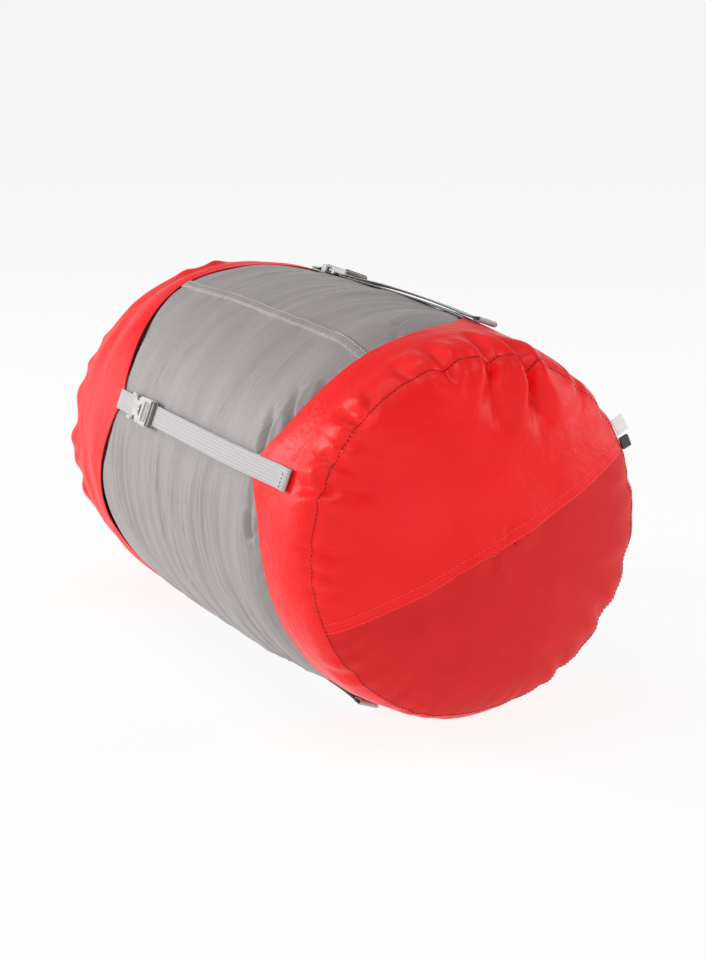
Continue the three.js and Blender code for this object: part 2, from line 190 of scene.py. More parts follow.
def modify(obj, kind, **settings):
    modifier = obj.modifiers.new(kind.lower(), kind)
    for key, value in settings.items():
        setattr(modifier, key, value)
    return modifier


def positions(mesh):
    flat = np.empty(len(mesh.vertices) * 3)
    mesh.vertices.foreach_get("co", flat)
    return flat.reshape(-1, 3) / MM


def vertex_normals(points, faces):
    """Unit normals at the points of triangles and quads."""
    normals = np.zeros_like(points)
    for size in (3, 4):
        chosen = np.array([f for f in faces if len(f) == size])
        if len(chosen) == 0:
            continue
        corner = points[chosen]
        face = np.cross(corner[:, 2] - corner[:, 0], corner[:, size - 1] - corner[:, 1])
        if size == 3:
            face = np.cross(corner[:, 1] - corner[:, 0], corner[:, 2] - corner[:, 0])
        for k in range(size):
            np.add.at(normals, chosen[:, k], face)
    return normals / np.maximum(np.linalg.norm(normals, axis=1, keepdims=True), 1e-9)


def surface_tree(points, faces):
    return BVHTree.FromPolygons([tuple(p) for p in points], faces)


def thicken(obj, thickness, offset=-1.0):
    modify(obj, "SOLIDIFY", thickness=thickness * MM, offset=offset)


def belongs(obj, body, slot, *nodes):
    """Ties a piece to its body and hides the CAD nodes that it stands for. The slot argument is not used."""
    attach(obj, body)
    if nodes:
        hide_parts(*nodes)


# ---------- materials ----------


class Nodes:
    """A short way to write a node material: every method adds a node and returns its output."""

    def __init__(self, name, colour, roughness, **shader):
        self.material = bpy.data.materials.new(name)
        self.material.use_nodes = True
        self.material.diffuse_color = (*colour, 1)
        self.tree = self.material.node_tree
        self.shader = next(n for n in self.tree.nodes if n.type == "BSDF_PRINCIPLED")
        self.set("Base Color", (*colour, 1))
        self.set("Roughness", roughness)
        for socket, value in shader.items():
            self.set(socket.replace("_", " "), value)

    def set(self, socket, value):
        if isinstance(value, bpy.types.NodeSocket):
            self.tree.links.new(value, self.shader.inputs[socket])
        else:
            self.shader.inputs[socket].default_value = value

    def node(self, kind, inputs=None, output=0, **settings):
        made = self.tree.nodes.new(kind)
        for key, value in settings.items():
            setattr(made, key, value)
        for key, value in (inputs or {}).items():
            if isinstance(value, bpy.types.NodeSocket):
                self.tree.links.new(value, made.inputs[key])
            else:
                made.inputs[key].default_value = value
        return made.outputs[output]

    def place(self):
        return self.node("ShaderNodeTexCoord", output="Object")

    def stretched(self, scale):
        return self.node("ShaderNodeMapping", {"Vector": self.place(), "Scale": scale})

    def noise(self, vector, scale, detail=3.0, roughness=0.5):
        inputs = {"Vector": vector, "Scale": scale, "Detail": detail, "Roughness": roughness}
        return self.node("ShaderNodeTexNoise", inputs)

    def wave(self, vector, scale, axis, distortion=0.0):
        inputs = {"Vector": vector, "Scale": scale, "Distortion": distortion, "Detail": 1.0}
        return self.node("ShaderNodeTexWave", inputs, bands_direction=axis)

    def maths(self, operation, a, b=0.0):
        return self.node("ShaderNodeMath", {0: a, 1: b}, operation=operation)

    def ramp(self, value, low, high, start=0.0, end=1.0):
        made = self.tree.nodes.new("ShaderNodeValToRGB")
        self.tree.links.new(value, made.inputs[0])
        made.color_ramp.elements[0].position, made.color_ramp.elements[1].position = start, end
        made.color_ramp.elements[0].color = (*low, 1)
        made.color_ramp.elements[1].color = (*high, 1)
        return made.outputs[0]

    def levels(self, value, low, high):
        inputs = {0: value, 3: low, 4: high}
        return self.node("ShaderNodeMapRange", inputs)

    def bump(self, height, distance, strength=1.0, under=None):
        inputs = {"Height": height, "Distance": distance, "Strength": strength}
        if under is not None:
            inputs["Normal"] = under
        return self.node("ShaderNodeBump", inputs)


def around_coordinates(nodes):
    """A vector of (arc in metres round the sack, metres along the sack, radius)."""
    split = nodes.tree.nodes.new("ShaderNodeSeparateXYZ")
    nodes.tree.links.new(nodes.place(), split.inputs[0])
    height = nodes.maths("SUBTRACT", split.outputs[2], AXIS_HEIGHT * MM)
    turn = nodes.maths("ARCTAN2", height, split.outputs[1])
    arc = nodes.maths("MULTIPLY", turn, WIDEST_RADIUS * MM)
    return nodes.node("ShaderNodeCombineXYZ", {0: arc, 1: split.outputs[0], 2: 0.0})


def wave_scale(pitch):
    """The wave texture's scale that puts its bands pitch metres apart."""
    return TAU / 20 / pitch


def shades(colour, *shares):
    """A colour made darker or lighter by each share."""
    return [tuple(c * share for c in colour) for share in shares]


def weave(nodes, vector, thread, depth, under=None):
    """Crossed threads of that pitch in metres."""
    over = nodes.wave(vector, wave_scale(thread), "X")
    across = nodes.wave(vector, wave_scale(thread), "Y")
    return nodes.bump(nodes.maths("MULTIPLY", over, across), depth, 0.6, under)


def coated_nylon():
    nodes = Nodes("red_coated_nylon", (0.88, 0.012, 0.013), 0.46, Sheen_Weight=0.1, Sheen_Roughness=0.3)
    nodes.set("Specular IOR Level", 0.2)
    nodes.set("Sheen Tint", (1.0, 0.75, 0.75, 1))
    cloudy = nodes.noise(nodes.place(), 22.0, 4.0)
    nodes.set("Base Color", nodes.ramp(cloudy, (0.85, 0.010, 0.011), (0.91, 0.015, 0.017), 0.3, 0.7))
    nodes.set("Roughness", nodes.levels(nodes.noise(nodes.place(), 60.0), 0.36, 0.48))
    slack = nodes.bump(nodes.noise(nodes.stretched((34.0, 22.0, 30.0)), 1.0, 4.0, 0.55), 0.007, 0.35)
    creases = nodes.bump(nodes.noise(nodes.place(), 110.0, 5.0, 0.62), 0.0011, 0.5, slack)
    nodes.set("Normal", nodes.bump(nodes.noise(nodes.place(), 1500.0, 1.0), 0.00005, 0.3, creases))
    return nodes.material


def plain_nylon():
    nodes = Nodes("red_plain_nylon", (0.66, 0.013, 0.013), 0.62, Sheen_Weight=0.12, Sheen_Roughness=0.35)
    nodes.set("Specular IOR Level", 0.2)
    nodes.set("Sheen Tint", (1.0, 0.6, 0.6, 1))
    cloudy = nodes.noise(nodes.place(), 30.0, 6.0, 0.6)
    nodes.set("Base Color", nodes.ramp(cloudy, (0.62, 0.011, 0.011), (0.70, 0.016, 0.016), 0.3, 0.7))
    grain = nodes.bump(nodes.noise(nodes.place(), 1400.0, 2.0), 0.0002, 0.5)
    nodes.set("Normal", weave(nodes, nodes.place(), 0.0007, 0.00008, grain))
    return nodes.material


def ripstop():
    nodes = Nodes("grey_ripstop", (0.33, 0.30, 0.295), 0.44, Sheen_Weight=0.12, Sheen_Roughness=0.4)
    vector = around_coordinates(nodes)
    cloudy = nodes.noise(nodes.stretched((40.0, 9.0, 9.0)), 1.0, 5.0)
    nodes.set("Base Color", nodes.ramp(cloudy, (0.29, 0.265, 0.26), (0.355, 0.325, 0.32), 0.3, 0.7))
    nodes.set("Roughness", nodes.levels(nodes.noise(nodes.place(), 50.0), 0.44, 0.56))
    threads = weave(nodes, vector, 0.0005, 0.00005)
    along_folds = nodes.node("ShaderNodeMapping", {"Vector": vector, "Scale": (9.0, 150.0, 1.0)})
    streaks = nodes.noise(along_folds, 1.0, 5.0, 0.6)
    threads = nodes.bump(streaks, 0.003, 0.7, threads)
    grid = nodes.maths("MAXIMUM", *(rip_lines(nodes, vector, axis) for axis in "XY"))
    nodes.set("Normal", nodes.bump(grid, 0.00012, 0.5, threads))
    return nodes.material


def rip_lines(nodes, vector, axis):
    """The thicker threads of the ripstop grid, 3 mm apart."""
    lines = nodes.wave(vector, wave_scale(0.003), axis)
    return nodes.maths("POWER", lines, 12.0)


def webbing_material(name, colour):
    nodes = Nodes(name, colour, 0.68, Sheen_Weight=0.15)
    nodes.set("Specular IOR Level", 0.3)
    # Base colour: the fuzz gives a random tone, and the ribs add painted shade in the grooves between them
    rib_groove_painted_shade = nodes.wave(around_coordinates(nodes), wave_scale(0.0021), "X")
    fuzz = nodes.noise(nodes.stretched((120.0, 900.0, 900.0)), 1.0, 3.0)
    dark, light = shades(colour, 0.72, 1.08)
    shade = nodes.maths("MULTIPLY_ADD", fuzz, 0.25)
    nodes.tree.links.new(nodes.maths("MULTIPLY", rib_groove_painted_shade, 0.35), shade.node.inputs[2])
    nodes.set("Base Color", nodes.ramp(shade, dark, light, 0.1, 0.8))
    nodes.set("Normal", nodes.bump(nodes.wave(nodes.place(), wave_scale(0.0011), "X", 1.0), 0.00012, 0.7))
    return nodes.material


def plastic_material(name, colour):
    nodes = Nodes(name, colour, 0.34)
    cloudy = nodes.noise(nodes.place(), 300.0, 3.0)
    nodes.set("Base Color", nodes.ramp(cloudy, *shades(colour, 0.94, 1.06), 0.3, 0.7))
    nodes.set("Roughness", nodes.levels(nodes.noise(nodes.place(), 700.0, 4.0), 0.32, 0.46))
    nodes.set("Normal", nodes.bump(nodes.noise(nodes.place(), 2500.0, 2.0), 0.00003, 0.5))
    return nodes.material


def thread_material(name, colour):
    nodes = Nodes(name, colour, 0.6)
    nodes.set("Normal", nodes.bump(nodes.wave(nodes.place(), 900.0, "DIAGONAL"), 0.0001, 0.6))
    return nodes.material


def satin_label():
    nodes = Nodes("label_tape", (0.86, 0.86, 0.84), 0.5, Sheen_Weight=0.2)
    cloudy = nodes.noise(nodes.place(), 400.0)
    nodes.set("Base Color", nodes.ramp(cloudy, (0.82, 0.82, 0.8), (0.9, 0.9, 0.88)))
    nodes.set("Normal", weave(nodes, nodes.place(), 0.0004, 0.00005))
    return nodes.material


def quilt_cloth(name, dark, light):
    nodes = Nodes(name, light, 0.75, Sheen_Weight=0.4)
    nodes.set("Base Color", nodes.ramp(nodes.noise(nodes.place(), 60.0, 4.0), dark, light, 0.3, 0.7))
    nodes.set("Normal", nodes.bump(nodes.noise(nodes.place(), 120.0, 5.0), 0.002, 0.5))
    return nodes.material


RED = coated_nylon()
RED_MATTE = plain_nylon()
GREY = ripstop()
WEBBING_LOOK = webbing_material("webbing", (0.60, 0.575, 0.59))
# Near-black webbing for the straps' backs and edges and for the seam tab: painted shade
WEBBING_PAINTED_SHADE = webbing_material("webbing_painted_shade", (0.085, 0.08, 0.078))
PLASTIC = plastic_material("buckle_plastic", (0.54, 0.53, 0.50))
# Near-black plastic: painted shade on the buckles' grips and hidden parts, which are the same plastic as the
# rest
GRIP_PAINTED_SHADE = plastic_material("buckle_grip_painted_shade", (0.13, 0.128, 0.115))
LABEL = satin_label()
RED_THREAD = thread_material("red_thread", (0.22, 0.006, 0.006))
RED_THREAD_LIGHT = thread_material("light_red_thread", (0.95, 0.10, 0.09))
GREY_THREAD = thread_material("grey_thread", (0.74, 0.72, 0.70))
DARK_THREAD = thread_material("dark_thread", (0.12, 0.11, 0.11))


# ---------- the grey tube ----------


# Folds of the tube, mostly beside the base hem: a chain of (angle, x), a depth and a width
TUBE_FOLDS = [
    (((155, 130), (149, 124), (141, 119)), 5.0, 2.2),
    (((146, 139), (140, 133), (133, 129)), 4.4, 2.2),
    (((134, 146), (127, 140)), 3.0, 2.2),
    (((98, 127), (93, 122), (88, 117)), 2.4, 2.0),
    (((181, 131), (174, 130), (167, 133)), 2.6, 2.0),
    (((175, 129), (185, 137)), 2.4, 1.8),
    (((187, 146), (192, 152)), 2.6, 1.8),
    (((208, 8), (212, 22)), 1.4, 3.0),
]


def hem_pleats(seed):
    """Short pleats that leave the base hem and lean round the tube."""
    rng = np.random.default_rng(seed)
    pleats, angle = [], 0.0
    while angle < 360:
        angle += rng.uniform(3.0, 6.5)
        turn = rng.choice([-1, 1], p=[0.3, 0.7]) * rng.uniform(5, 13)
        start = float(hem_x(BASE_HEM, angle)) + 3
        end = float(hem_x(BASE_HEM, angle + turn)) - rng.uniform(4, 30)
        middle = (angle + turn * 0.45, start * 0.6 + end * 0.4)
        depth, width = rng.uniform(0.5, 1.6), rng.uniform(1.5, 2.4)
        pleats.append((((angle, start), middle, (angle + turn, end)), depth, width))
    return pleats


TUBE_FOLDS += hem_pleats(8)


def valley(x, angle, chain, depth, width):
    """A fold's depth: a groove with a soft ridge on both sides, which runs out at the far end."""
    nearest = np.full(np.broadcast(x, angle).shape, 99.0)
    share = np.zeros_like(nearest)
    for k, ((a0, x0), (a1, x1)) in enumerate(zip(chain, chain[1:])):
        across = np.radians(np.mod(angle - a0 + 180, 360) - 180) * WIDEST_RADIUS
        along = np.array([math.radians(a1 - a0) * WIDEST_RADIUS, x1 - x0])
        t = np.clip((across * along[0] + (x - x0) * along[1]) / (along @ along), 0, 1)
        far = np.hypot(across - t * along[0], x - x0 - t * along[1])
        share = np.where(far < nearest, (k + t) / (len(chain) - 1), share)
        nearest = np.minimum(nearest, far)
    g = nearest / width
    return depth * (1 - share**2) * (0.14 * np.exp(-(((g - 2.4) / 1.3) ** 2)) - np.exp(-(g**2)))


def tube_relief(x, angle):
    """Wrinkles that run round the tube, because the straps shorten it, and the deep folds."""
    fine = waves(3, 40, (5, 10), 7)(x, angle)
    middle = waves(4, 24, (16, 46), 5)(x, angle)
    broad = waves(6, 12, (60, 160), 4)(x, angle)
    patches = smooth(0.5 + 0.6 * waves(5, 12, (80, 300), 4)(x, angle))
    ridge = 1 - np.minimum(1, np.abs(middle))
    flutter = 0.16 * fine * patches + 0.5 * middle + 1.1 * ridge**5 * patches + 0.7 * broad
    flutter *= 0.35 + 0.65 * smooth(from_strap(angle) / 8 - 0.3)
    flutter *= 1 - 0.75 * np.exp(-((turn_between(angle, SEAM_ANGLE) / 2.6) ** 2))
    return flutter + sum(valley(x, angle, *fold) for fold in TUBE_FOLDS)


TUBE_DX, TUBE_DEGREES = 1.3, 0.9  # the mesh's spacing
TUBE_START_X, MOUTH_X = -224.0, -217.0  # where the wall starts, and the middle of its gathered mouth
MOUTH_GATHERS, GATHER_HIGH = 26, 2.2  # pleats of the gathered mouth, and how far they stand out
TUBE_SINK, SINK_LENGTH = 3.2, 10  # how far the caps press the tube in, and over how many mm at the lid
NECK, NECK_LENGTH = 11.0, 46  # how far the base hem gathers it, and over how many mm


def rounding_off(past, wide):
    """A quarter round that ends at a hem: 0 to 1 over the last wide mm before it."""
    return 1 - np.sqrt(1 - np.clip(past / wide + 1, 0, 1) ** 2)


def tube_skin(x, angle):
    """The tube's wrinkled surface. The caps' tight hems press it in, except under the straps."""
    past_base, past_lid = x - hem_x(BASE_HEM, angle), hem_x(LID_HEM, angle) - x
    neck = NECK * rounding_off(past_base, NECK_LENGTH) + TUBE_SINK * rounding_off(past_lid, SINK_LENGTH)
    neck *= beside_straps(angle)
    sunk = TUBE_SINK * smooth((np.maximum(past_base, past_lid) - 1) / 14)
    return skin_radius(x, angle) + tube_relief(x, angle) - np.maximum(neck, sunk)


def tube_wall():
    inner = BASE_SEAM_X - 3
    xs = np.arange(TUBE_START_X, inner, TUBE_DX)
    angles = np.arange(0, 360, TUBE_DEGREES)
    x, a = np.meshgrid(xs, angles, indexing="ij")
    under_caps_by = np.maximum(hem_x(LID_HEM, a) - x, x - hem_x(BASE_HEM, a)).clip(0)
    under_caps = np.minimum(1, under_caps_by / 12)
    radius = tube_skin(x, a) - 0.7 * under_caps - tube_relief(x, a) * 0.8 * under_caps
    wall = place(x, a, radius, lift=1.0 * under_caps)
    return wall, len(xs), len(angles)


def make_tube():
    """The wall, and the rings that gather its mouth towards the middle."""
    wall, rows, columns = tube_wall()
    first = wall[0]
    centre = np.array([MOUTH_X, 0, AXIS_HEIGHT])
    rings = []
    a = np.arange(0, 360, TUBE_DEGREES)
    for share in np.linspace(0.34, 0.985, 24):
        pleat = np.cos(np.radians(a) * MOUTH_GATHERS) * GATHER_HIGH * (1 - share)
        ring = centre + (first - centre) * share
        ring[:, 0] += -GATHER_HIGH * (1 - share**2) - pleat
        rings.append(ring)
    points = np.concatenate([np.array(rings).reshape(-1, 3), wall.reshape(-1, 3)])
    obj = mesh_object("tube", points, grid_faces(rows + len(rings), columns, True), GREY)
    thicken(obj, 0.5)
    belongs(obj, "sack", "grey_ripstop", "tube_shell", "tube_base_disc")


make_tube()


def make_felled_seam():
    """The folded seam strip along the top of the tube."""
    half, raised = 3.9, 1.5
    start, end = (float(hem_x(hem, SEAM_ANGLE)) for hem in (LID_HEM, BASE_HEM))
    xs = np.arange(start - 8, end + 10, 0.8)
    edge = np.array([0.15, 0.45, 0.72, 0.86, 0.97, 1])
    across = np.concatenate([-edge[::-1], edge]) * half
    x, t = np.meshgrid(xs, across, indexing="ij")
    angle = SEAM_ANGLE + np.degrees(t / WIDEST_RADIUS) + 0.25 * np.sin(x / 23)
    inside = np.abs(t) / half
    ladder = 0.28 * np.sin(TAU * x / 5.2 + 1.5 * np.sin(x / 17)) * (1 - inside**2)
    seat = 0.5 * np.exp(-(((inside - 0.72) / 0.1) ** 2))
    height = raised * smooth((1 - inside) / 0.1) - 0.2 + ladder - seat
    points = place(x, angle, tube_skin(x, angle) + height)
    faces = grid_faces(len(xs), len(across), False)
    obj = mesh_object("tube_felled_seam", points.reshape(-1, 3), [tuple(reversed(f)) for f in faces], GREY)
    thicken(obj, 0.4)
    belongs(obj, "sack", "grey_ripstop")
    return points


felled = make_felled_seam()

# ---------- folds and puckers ----------


def crease_relief(creases, angle, s, shrink, radius):
    """Height in mm over a cap from its creases. Each crease is ((angle, s), (angle, s), depth,
    width): a valley between two points with a soft ridge on both sides. s is mm from the seam,
    positive on the end disc, where distances round the sack shrink."""
    total = np.zeros(len(angle))
    for (a0, s0), (a1, s1), depth, width in creases:
        along = np.array([math.radians(a1 - a0) * radius, s1 - s0])
        du = np.radians(np.mod(angle - a0 + 180, 360) - 180) * radius
        du = du + (shrink - 1) * (du - along[0] / 2)
        near = np.abs(du - along[0] / 2) < abs(along[0]) + 5 * width + 20
        u, v = du[near], s[near] - s0
        t = np.clip((u * along[0] + v * along[1]) / max(along @ along, 1e-6), 0, 1)
        if s1 > 18:  # it fans out towards the middle of the end
            fade, spread = 1 - 0.95 * t**1.3, 1 + 1.1 * t
        elif s0 < -25:  # it starts softly on the band and is deepest at the seam
            fade, spread = 0.1 + 0.9 * smooth(t * 1.3), 1.5 - 0.5 * t
        else:
            fade, spread = 1 - 0.8 * np.abs(2 * t - 1) ** 2.5, 1.0
        g = np.hypot(u - t * along[0], v - t * along[1]) / (width * spread)
        total[near] += depth * fade * (0.42 * np.exp(-((g - 1.9) ** 2)) - np.exp(-(g**2)))
    return total


def random_puckers(seed, spacing, depth, reach, width, skip=()):
    """Short creases square to the seam, all round the sack."""
    rng = np.random.default_rng(seed)
    creases, angle = [], 0.0
    while angle < 360 - spacing[0]:
        angle += rng.uniform(*spacing)
        size = rng.uniform(0.35, 1.0)
        back, ahead = rng.uniform(0.2, 1.0, 2) * reach * size
        lean = rng.uniform(-0.12, 0.12, 2) * reach * size
        wide = rng.uniform(*width)
        crease = ((angle + lean[0], -back), (angle + lean[1], ahead), depth * size, wide)
        if not any(turn_between(angle, a) < half for a, half in skip):
            creases.append(crease)
    return creases


# The deep folds of the base cap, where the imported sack's straps gather it
BASE_FOLDS = (
    ((103, -36), (103, 6), 5.0, 4.5),
    ((86, -48), (88, 8), 4.6, 3.6),
    ((78, -50), (74, 8), 8.0, 4.4),
    ((88, 8), (91, 44), 7.5, 4.2),
    ((74, 8), (62, 42), 12.0, 5.0),
    ((74, 8), (70, 34), 5.5, 3.4),
    ((160, -28), (158, 3), 6.0, 3.6),
    ((158, 3), (150, 38), 5.0, 3.6),
    ((156, -2), (138, 42), 3.6, 4.0),
    ((136, -30), (134, -2), 5.4, 4.4),
    ((127, -9), (131, 1), 3.5, 3.5),
    ((148, -13), (149, 12), 4.0, 3.2),
    ((116, -14), (113, 4), 2.0, 4.0),
    ((177, -14), (177, 17), 3.2, 3.0),
    ((183, -3), (185, 14), 2.6, 2.8),
    ((190, -5), (190, 11), 2.4, 3.0),
    ((52, -18), (50, 14), 2.4, 5.0),
    ((38, -20), (36, 12), 1.8, 5.5),
    ((14, -30), (12, 10), 1.6, 6.0),
    ((-12, -34), (-14, 12), 2.0, 6.5),
    ((-35, -36), (-33, 12), 2.6, 6.0),
    ((-58, -26), (-56, 10), 2.0, 5.0),
    ((220, -24), (222, 16), 2.0, 5.0),
)
# Where those folds drag the seam line towards the middle of the end: angle, mm, half-width
BASE_SEAM_DIPS = ((103, 3, 4.5), (88, 3.5, 3.5), (74.5, 8, 3.6))
BASE_CREASES = [*BASE_FOLDS, *random_puckers(11, (5.0, 11.0), 1.1, 15.0, (2.2, 3.8), ((96, 30), (158, 12)))]

LID_CREASES = [
    *random_puckers(21, (9.0, 17.0), 5.6, 44.0, (5.0, 8.0)),
    *random_puckers(22, (6.0, 13.0), 1.3, 18.0, (2.6, 4.5)),
]
LID_SEAM_DIPS = tuple((40 * k + 9 * (k % 3), 2.5, 6) for k in range(9))


def seam_drag(dips, seed, angle, s):
    """How far the fabric is dragged over the seam line, in mm."""
    wave = waves(seed, 10, (1e6, 2e6), 24)(0.0, angle) * 0.5
    for at, size, half in dips:
        wave = wave + size * np.exp(-((turn_between(angle, at) / half) ** 2))
    return wave * np.exp(-((s / 20) ** 2))


# ---------- caps ----------

SEAM_VALLEY = {"depth": 2.4, "width": 4.0}
HEM_GRIP = {"lid": 1.2, "base": 1.8}  # how far the caps' tight hems sink between the straps
DEEPEST = {"band": 4.2, "end": 10.0}  # the most that a fold sinks, in mm
PILLOW = {"middle": 15.0, "width": 13.0}  # a swell on both sides of the seam, mm from it
BASE_END_POWER, LID_END_POWER = 2.3, 2.0  # how square the ends' domes are
FLOOR_CLEAR = 0.3  # the lowest height of a cap's sheet
TAIL_RISE = 0.8  # how much higher the loose tails run than the other upper webbing


def hem_grip(hem, angle):
    return HEM_GRIP[hem["cap"]] * beside_straps(angle)


class Cap:
    """One red cap as a single sheet: the band from its hem to the seam, then the end disc."""

    def __init__(self, hem, seam_x, dome, power, columns, band_rows, disc_rows, creases, dips,
                 pillow, seed):
        self.pillow = pillow
        self.hem, self.seam_x, self.dome, self.power = hem, seam_x, dome, power
        self.sign = 1 if dome > 0 else -1
        self.rim = float(radius_at(seam_x)) + CAP_TOP
        self.rings = []
        angle, share = [], []
        for i in range(band_rows):
            self.add_ring(angle, share, -1 + i / (band_rows - 1), columns)
        for k in range(1, disc_rows):
            inner = k / disc_rows
            corners = columns
            while corners > 12 and corners * 0.62 > columns * (1 - inner):
                corners //= 2
            self.add_ring(angle, share, inner, corners)
        self.add_ring(angle, share, 1.0, 1)
        self.angle, self.share = np.array(angle), np.array(share)
        self.faces = self.make_faces()
        s = np.where(self.share < 0, self.share * self.band_length(), self.share * self.rim)
        self.s = s
        flat = self.surface(s, self.angle)
        dragged = s + seam_drag(dips, seed, self.angle, s)
        dragged = np.where(self.share <= -0.999, s, dragged)
        shrink = np.clip(1 - np.clip(s, 0, None) / self.rim, 0.02, 1)
        relief = crease_relief(creases, self.angle, s, shrink, self.rim)
        relief = relief - SEAM_VALLEY["depth"] * np.exp(-((s / SEAM_VALLEY["width"]) ** 2))
        relief += self.pillow * np.exp(-(((np.abs(s) - PILLOW["middle"]) / PILLOW["width"]) ** 2))
        relief += 0.9 * waves(seed + 1, 18, (30, 80), 9)(s, self.angle) * smooth((self.share + 1) * 4)
        from_hem = (self.share + 1) * self.band_length()
        relief *= smooth(from_hem / 9)
        grip = hem_grip(self.hem, self.angle) * np.exp(-((from_hem / 10) ** 2))
        relief -= np.where(self.share < 0, grip, 0)
        deepest = DEEPEST["band"] + (DEEPEST["end"] - DEEPEST["band"]) * smooth(s / 12)
        relief = np.where(relief < 0, -deepest * np.tanh(-relief / deepest), relief)
        normals = vertex_normals(flat, self.faces)
        self.points = self.surface(dragged, self.angle) + normals * relief[:, None]
        self.smooth_points = flat

    def add_ring(self, angle, share, at, corners):
        self.rings.append((len(angle), corners))
        angle.extend(OVERLAP_ANGLE + np.arange(corners) * 360 / corners)
        share.extend([at] * corners)

    def band_length(self):
        return np.abs(hem_x(self.hem, self.angle) - self.seam_x)

    def surface(self, s, angle):
        """The cap without folds. s is mm from the seam, below 0 on the band."""
        band_x = self.seam_x + self.sign * np.minimum(s, 0)
        inner = 1 - np.clip(s, 0, None) / self.rim
        rim = place(band_x, angle, skin_radius(band_x, angle) + CAP_TOP)
        middle = np.array([0, 0, AXIS_HEIGHT])
        points = (rim - middle) * np.where(s > 0, inner, 1)[:, None] + middle
        bulge = self.dome * (1 - np.clip(inner, 0, 1) ** self.power)
        points[:, 0] = rim[:, 0] + np.where(s > 0, bulge, 0)
        return points

    def make_faces(self):
        faces = []
        for (outer, n_outer), (inner, n_inner) in zip(self.rings, self.rings[1:]):
            for j in range(n_inner if n_inner > 1 else n_outer):
                k = (j + 1) % max(n_inner, 1)
                if n_inner == 1:
                    faces.append((outer + j, outer + (j + 1) % n_outer, inner))
                elif n_inner == n_outer:
                    faces.append((outer + j, outer + k, inner + k, inner + j))
                else:
                    a, b, c = (outer + (2 * j + m) % n_outer for m in range(3))
                    faces.extend([(a, b, inner + j), (b, inner + k, inner + j), (b, c, inner + k)])
        return faces if self.sign > 0 else [tuple(reversed(f)) for f in faces]

    def flat_pattern(self, fullness):
        """The sheet as it was cut: a level disc and a plain tube, a little larger all over."""
        arc = self.rim * (1 + 0.667 * (self.dome / self.rim) ** 2) * (1 + fullness)
        s = self.s
        radius = np.where(s > 0, arc * (1 - np.clip(s, 0, None) / self.rim), arc)
        a = np.radians(self.angle)
        x = self.seam_x + self.sign * np.minimum(s, 0) * (1 + fullness)
        return np.stack([x, radius * np.cos(a), radius * np.sin(a) + AXIS_HEIGHT], 1)

    def simulate(self, frames, pressure, fullness, limit):
        """Lets the stuffed sheet settle, sewn at its hem and held loosely at the seam. No point
        moves more than limit mm."""
        obj = mesh_object("cap_cloth", self.points, self.faces, RED)
        obj.shape_key_add(name="Basis")
        cut = obj.shape_key_add(name="cut")
        cut.data.foreach_set("co", (self.flat_pattern(fullness) * MM).ravel())
        cut.value = 0.0
        pins = obj.vertex_groups.new(name="pins")
        at_seam = np.exp(-((self.s / 3.5) ** 2))
        weight = 0.12 + 0.4 * at_seam
        weight = np.where(self.share < -0.999, 1.0, weight)
        weight = np.where(self.points[:, 2] < 6, 1.0, weight)
        for v, w in enumerate(weight):
            pins.add([v], float(w), "REPLACE")
        cloth = obj.modifiers.new("cloth", "CLOTH")
        settings = cloth.settings
        settings.quality = 5
        settings.mass = 0.05
        settings.tension_stiffness = settings.compression_stiffness = 22
        settings.shear_stiffness = 9
        settings.bending_stiffness = 0.35
        settings.tension_damping = settings.compression_damping = 12
        settings.air_damping = 6
        settings.effector_weights.gravity = 0
        settings.vertex_group_mass = "pins"
        settings.pin_stiffness = 1.0
        settings.rest_shape_key = cut
        settings.use_pressure = True
        settings.uniform_pressure_force = pressure
        cloth.collision_settings.use_collision = False
        cloth.point_cache.frame_end = frames
        scene = bpy.context.scene
        for frame_number in range(1, frames + 1):
            scene.frame_set(frame_number)
        settled = evaluated_positions(obj)
        scene.frame_set(1)
        moved = settled - self.points
        far = np.linalg.norm(moved, axis=1, keepdims=True)
        self.points = self.points + moved * (limit * np.tanh(far / limit) / np.maximum(far, 1e-6))

    def even_out(self, hold=0.65):
        """Moves every point a little towards its neighbours' middle. The hem stays."""
        pairs = np.array(sorted({tuple(sorted((f[k], f[(k + 1) % len(f)])))
                                 for f in self.faces for k in range(len(f))}))
        total = np.zeros_like(self.points)
        count = np.zeros(len(self.points))
        for a, b in ((0, 1), (1, 0)):
            np.add.at(total, pairs[:, a], self.points[pairs[:, b]])
            np.add.at(count, pairs[:, a], 1)
        mean = total / count[:, None]
        inside = self.share > -0.999
        self.points[inside] += (1 - hold) * (mean[inside] - self.points[inside])


def evaluated_positions(obj):
    """Positions of the evaluated mesh in mm. The object is removed."""
    depsgraph = bpy.context.evaluated_depsgraph_get()
    result = positions(obj.evaluated_get(depsgraph).data)
    mesh = obj.data
    bpy.data.objects.remove(obj)
    bpy.data.meshes.remove(mesh)
    return result


def press_under_tails(points):
    """Keeps the cloth under the loose webbing tails that lie on it."""
    y, z = points[:, 1], points[:, 2] - AXIS_HEIGHT
    for strap in STRAPS.values():
        a = math.radians(strap["angle"])
        out = y * math.cos(a) + z * math.sin(a)
        across = y * math.sin(a) - z * math.cos(a)
        x = points[:, 0]
        most = radius_for_tail(x, strap["angle"]) + UPPER_RUN - WEBBING
        near = 1 - smooth((np.abs(across) - STRAP_HALF) / 7)
        near *= 1 - smooth((x - strap["tail_end"] + 4) / 10)
        near *= out > 0
        sink = np.clip(out - most, 0, None) * near
        y = y - sink * math.cos(a)
        z = z - sink * math.sin(a)
    points[:, 1], points[:, 2] = y, z + AXIS_HEIGHT


def radius_for_tail(x, angle):
    return skin_radius(x, np.full(np.shape(x), float(angle))) + TAIL_RISE


def split_piece(name, points, faces, keep, material):
    """The faces whose corners all pass keep, as their own object."""
    chosen = [f for f in faces if all(keep[v] for v in f)]
    used = sorted({v for f in chosen for v in f})
    number = {v: i for i, v in enumerate(used)}
    return mesh_object(name, points[used], [tuple(number[v] for v in f) for f in chosen], material)


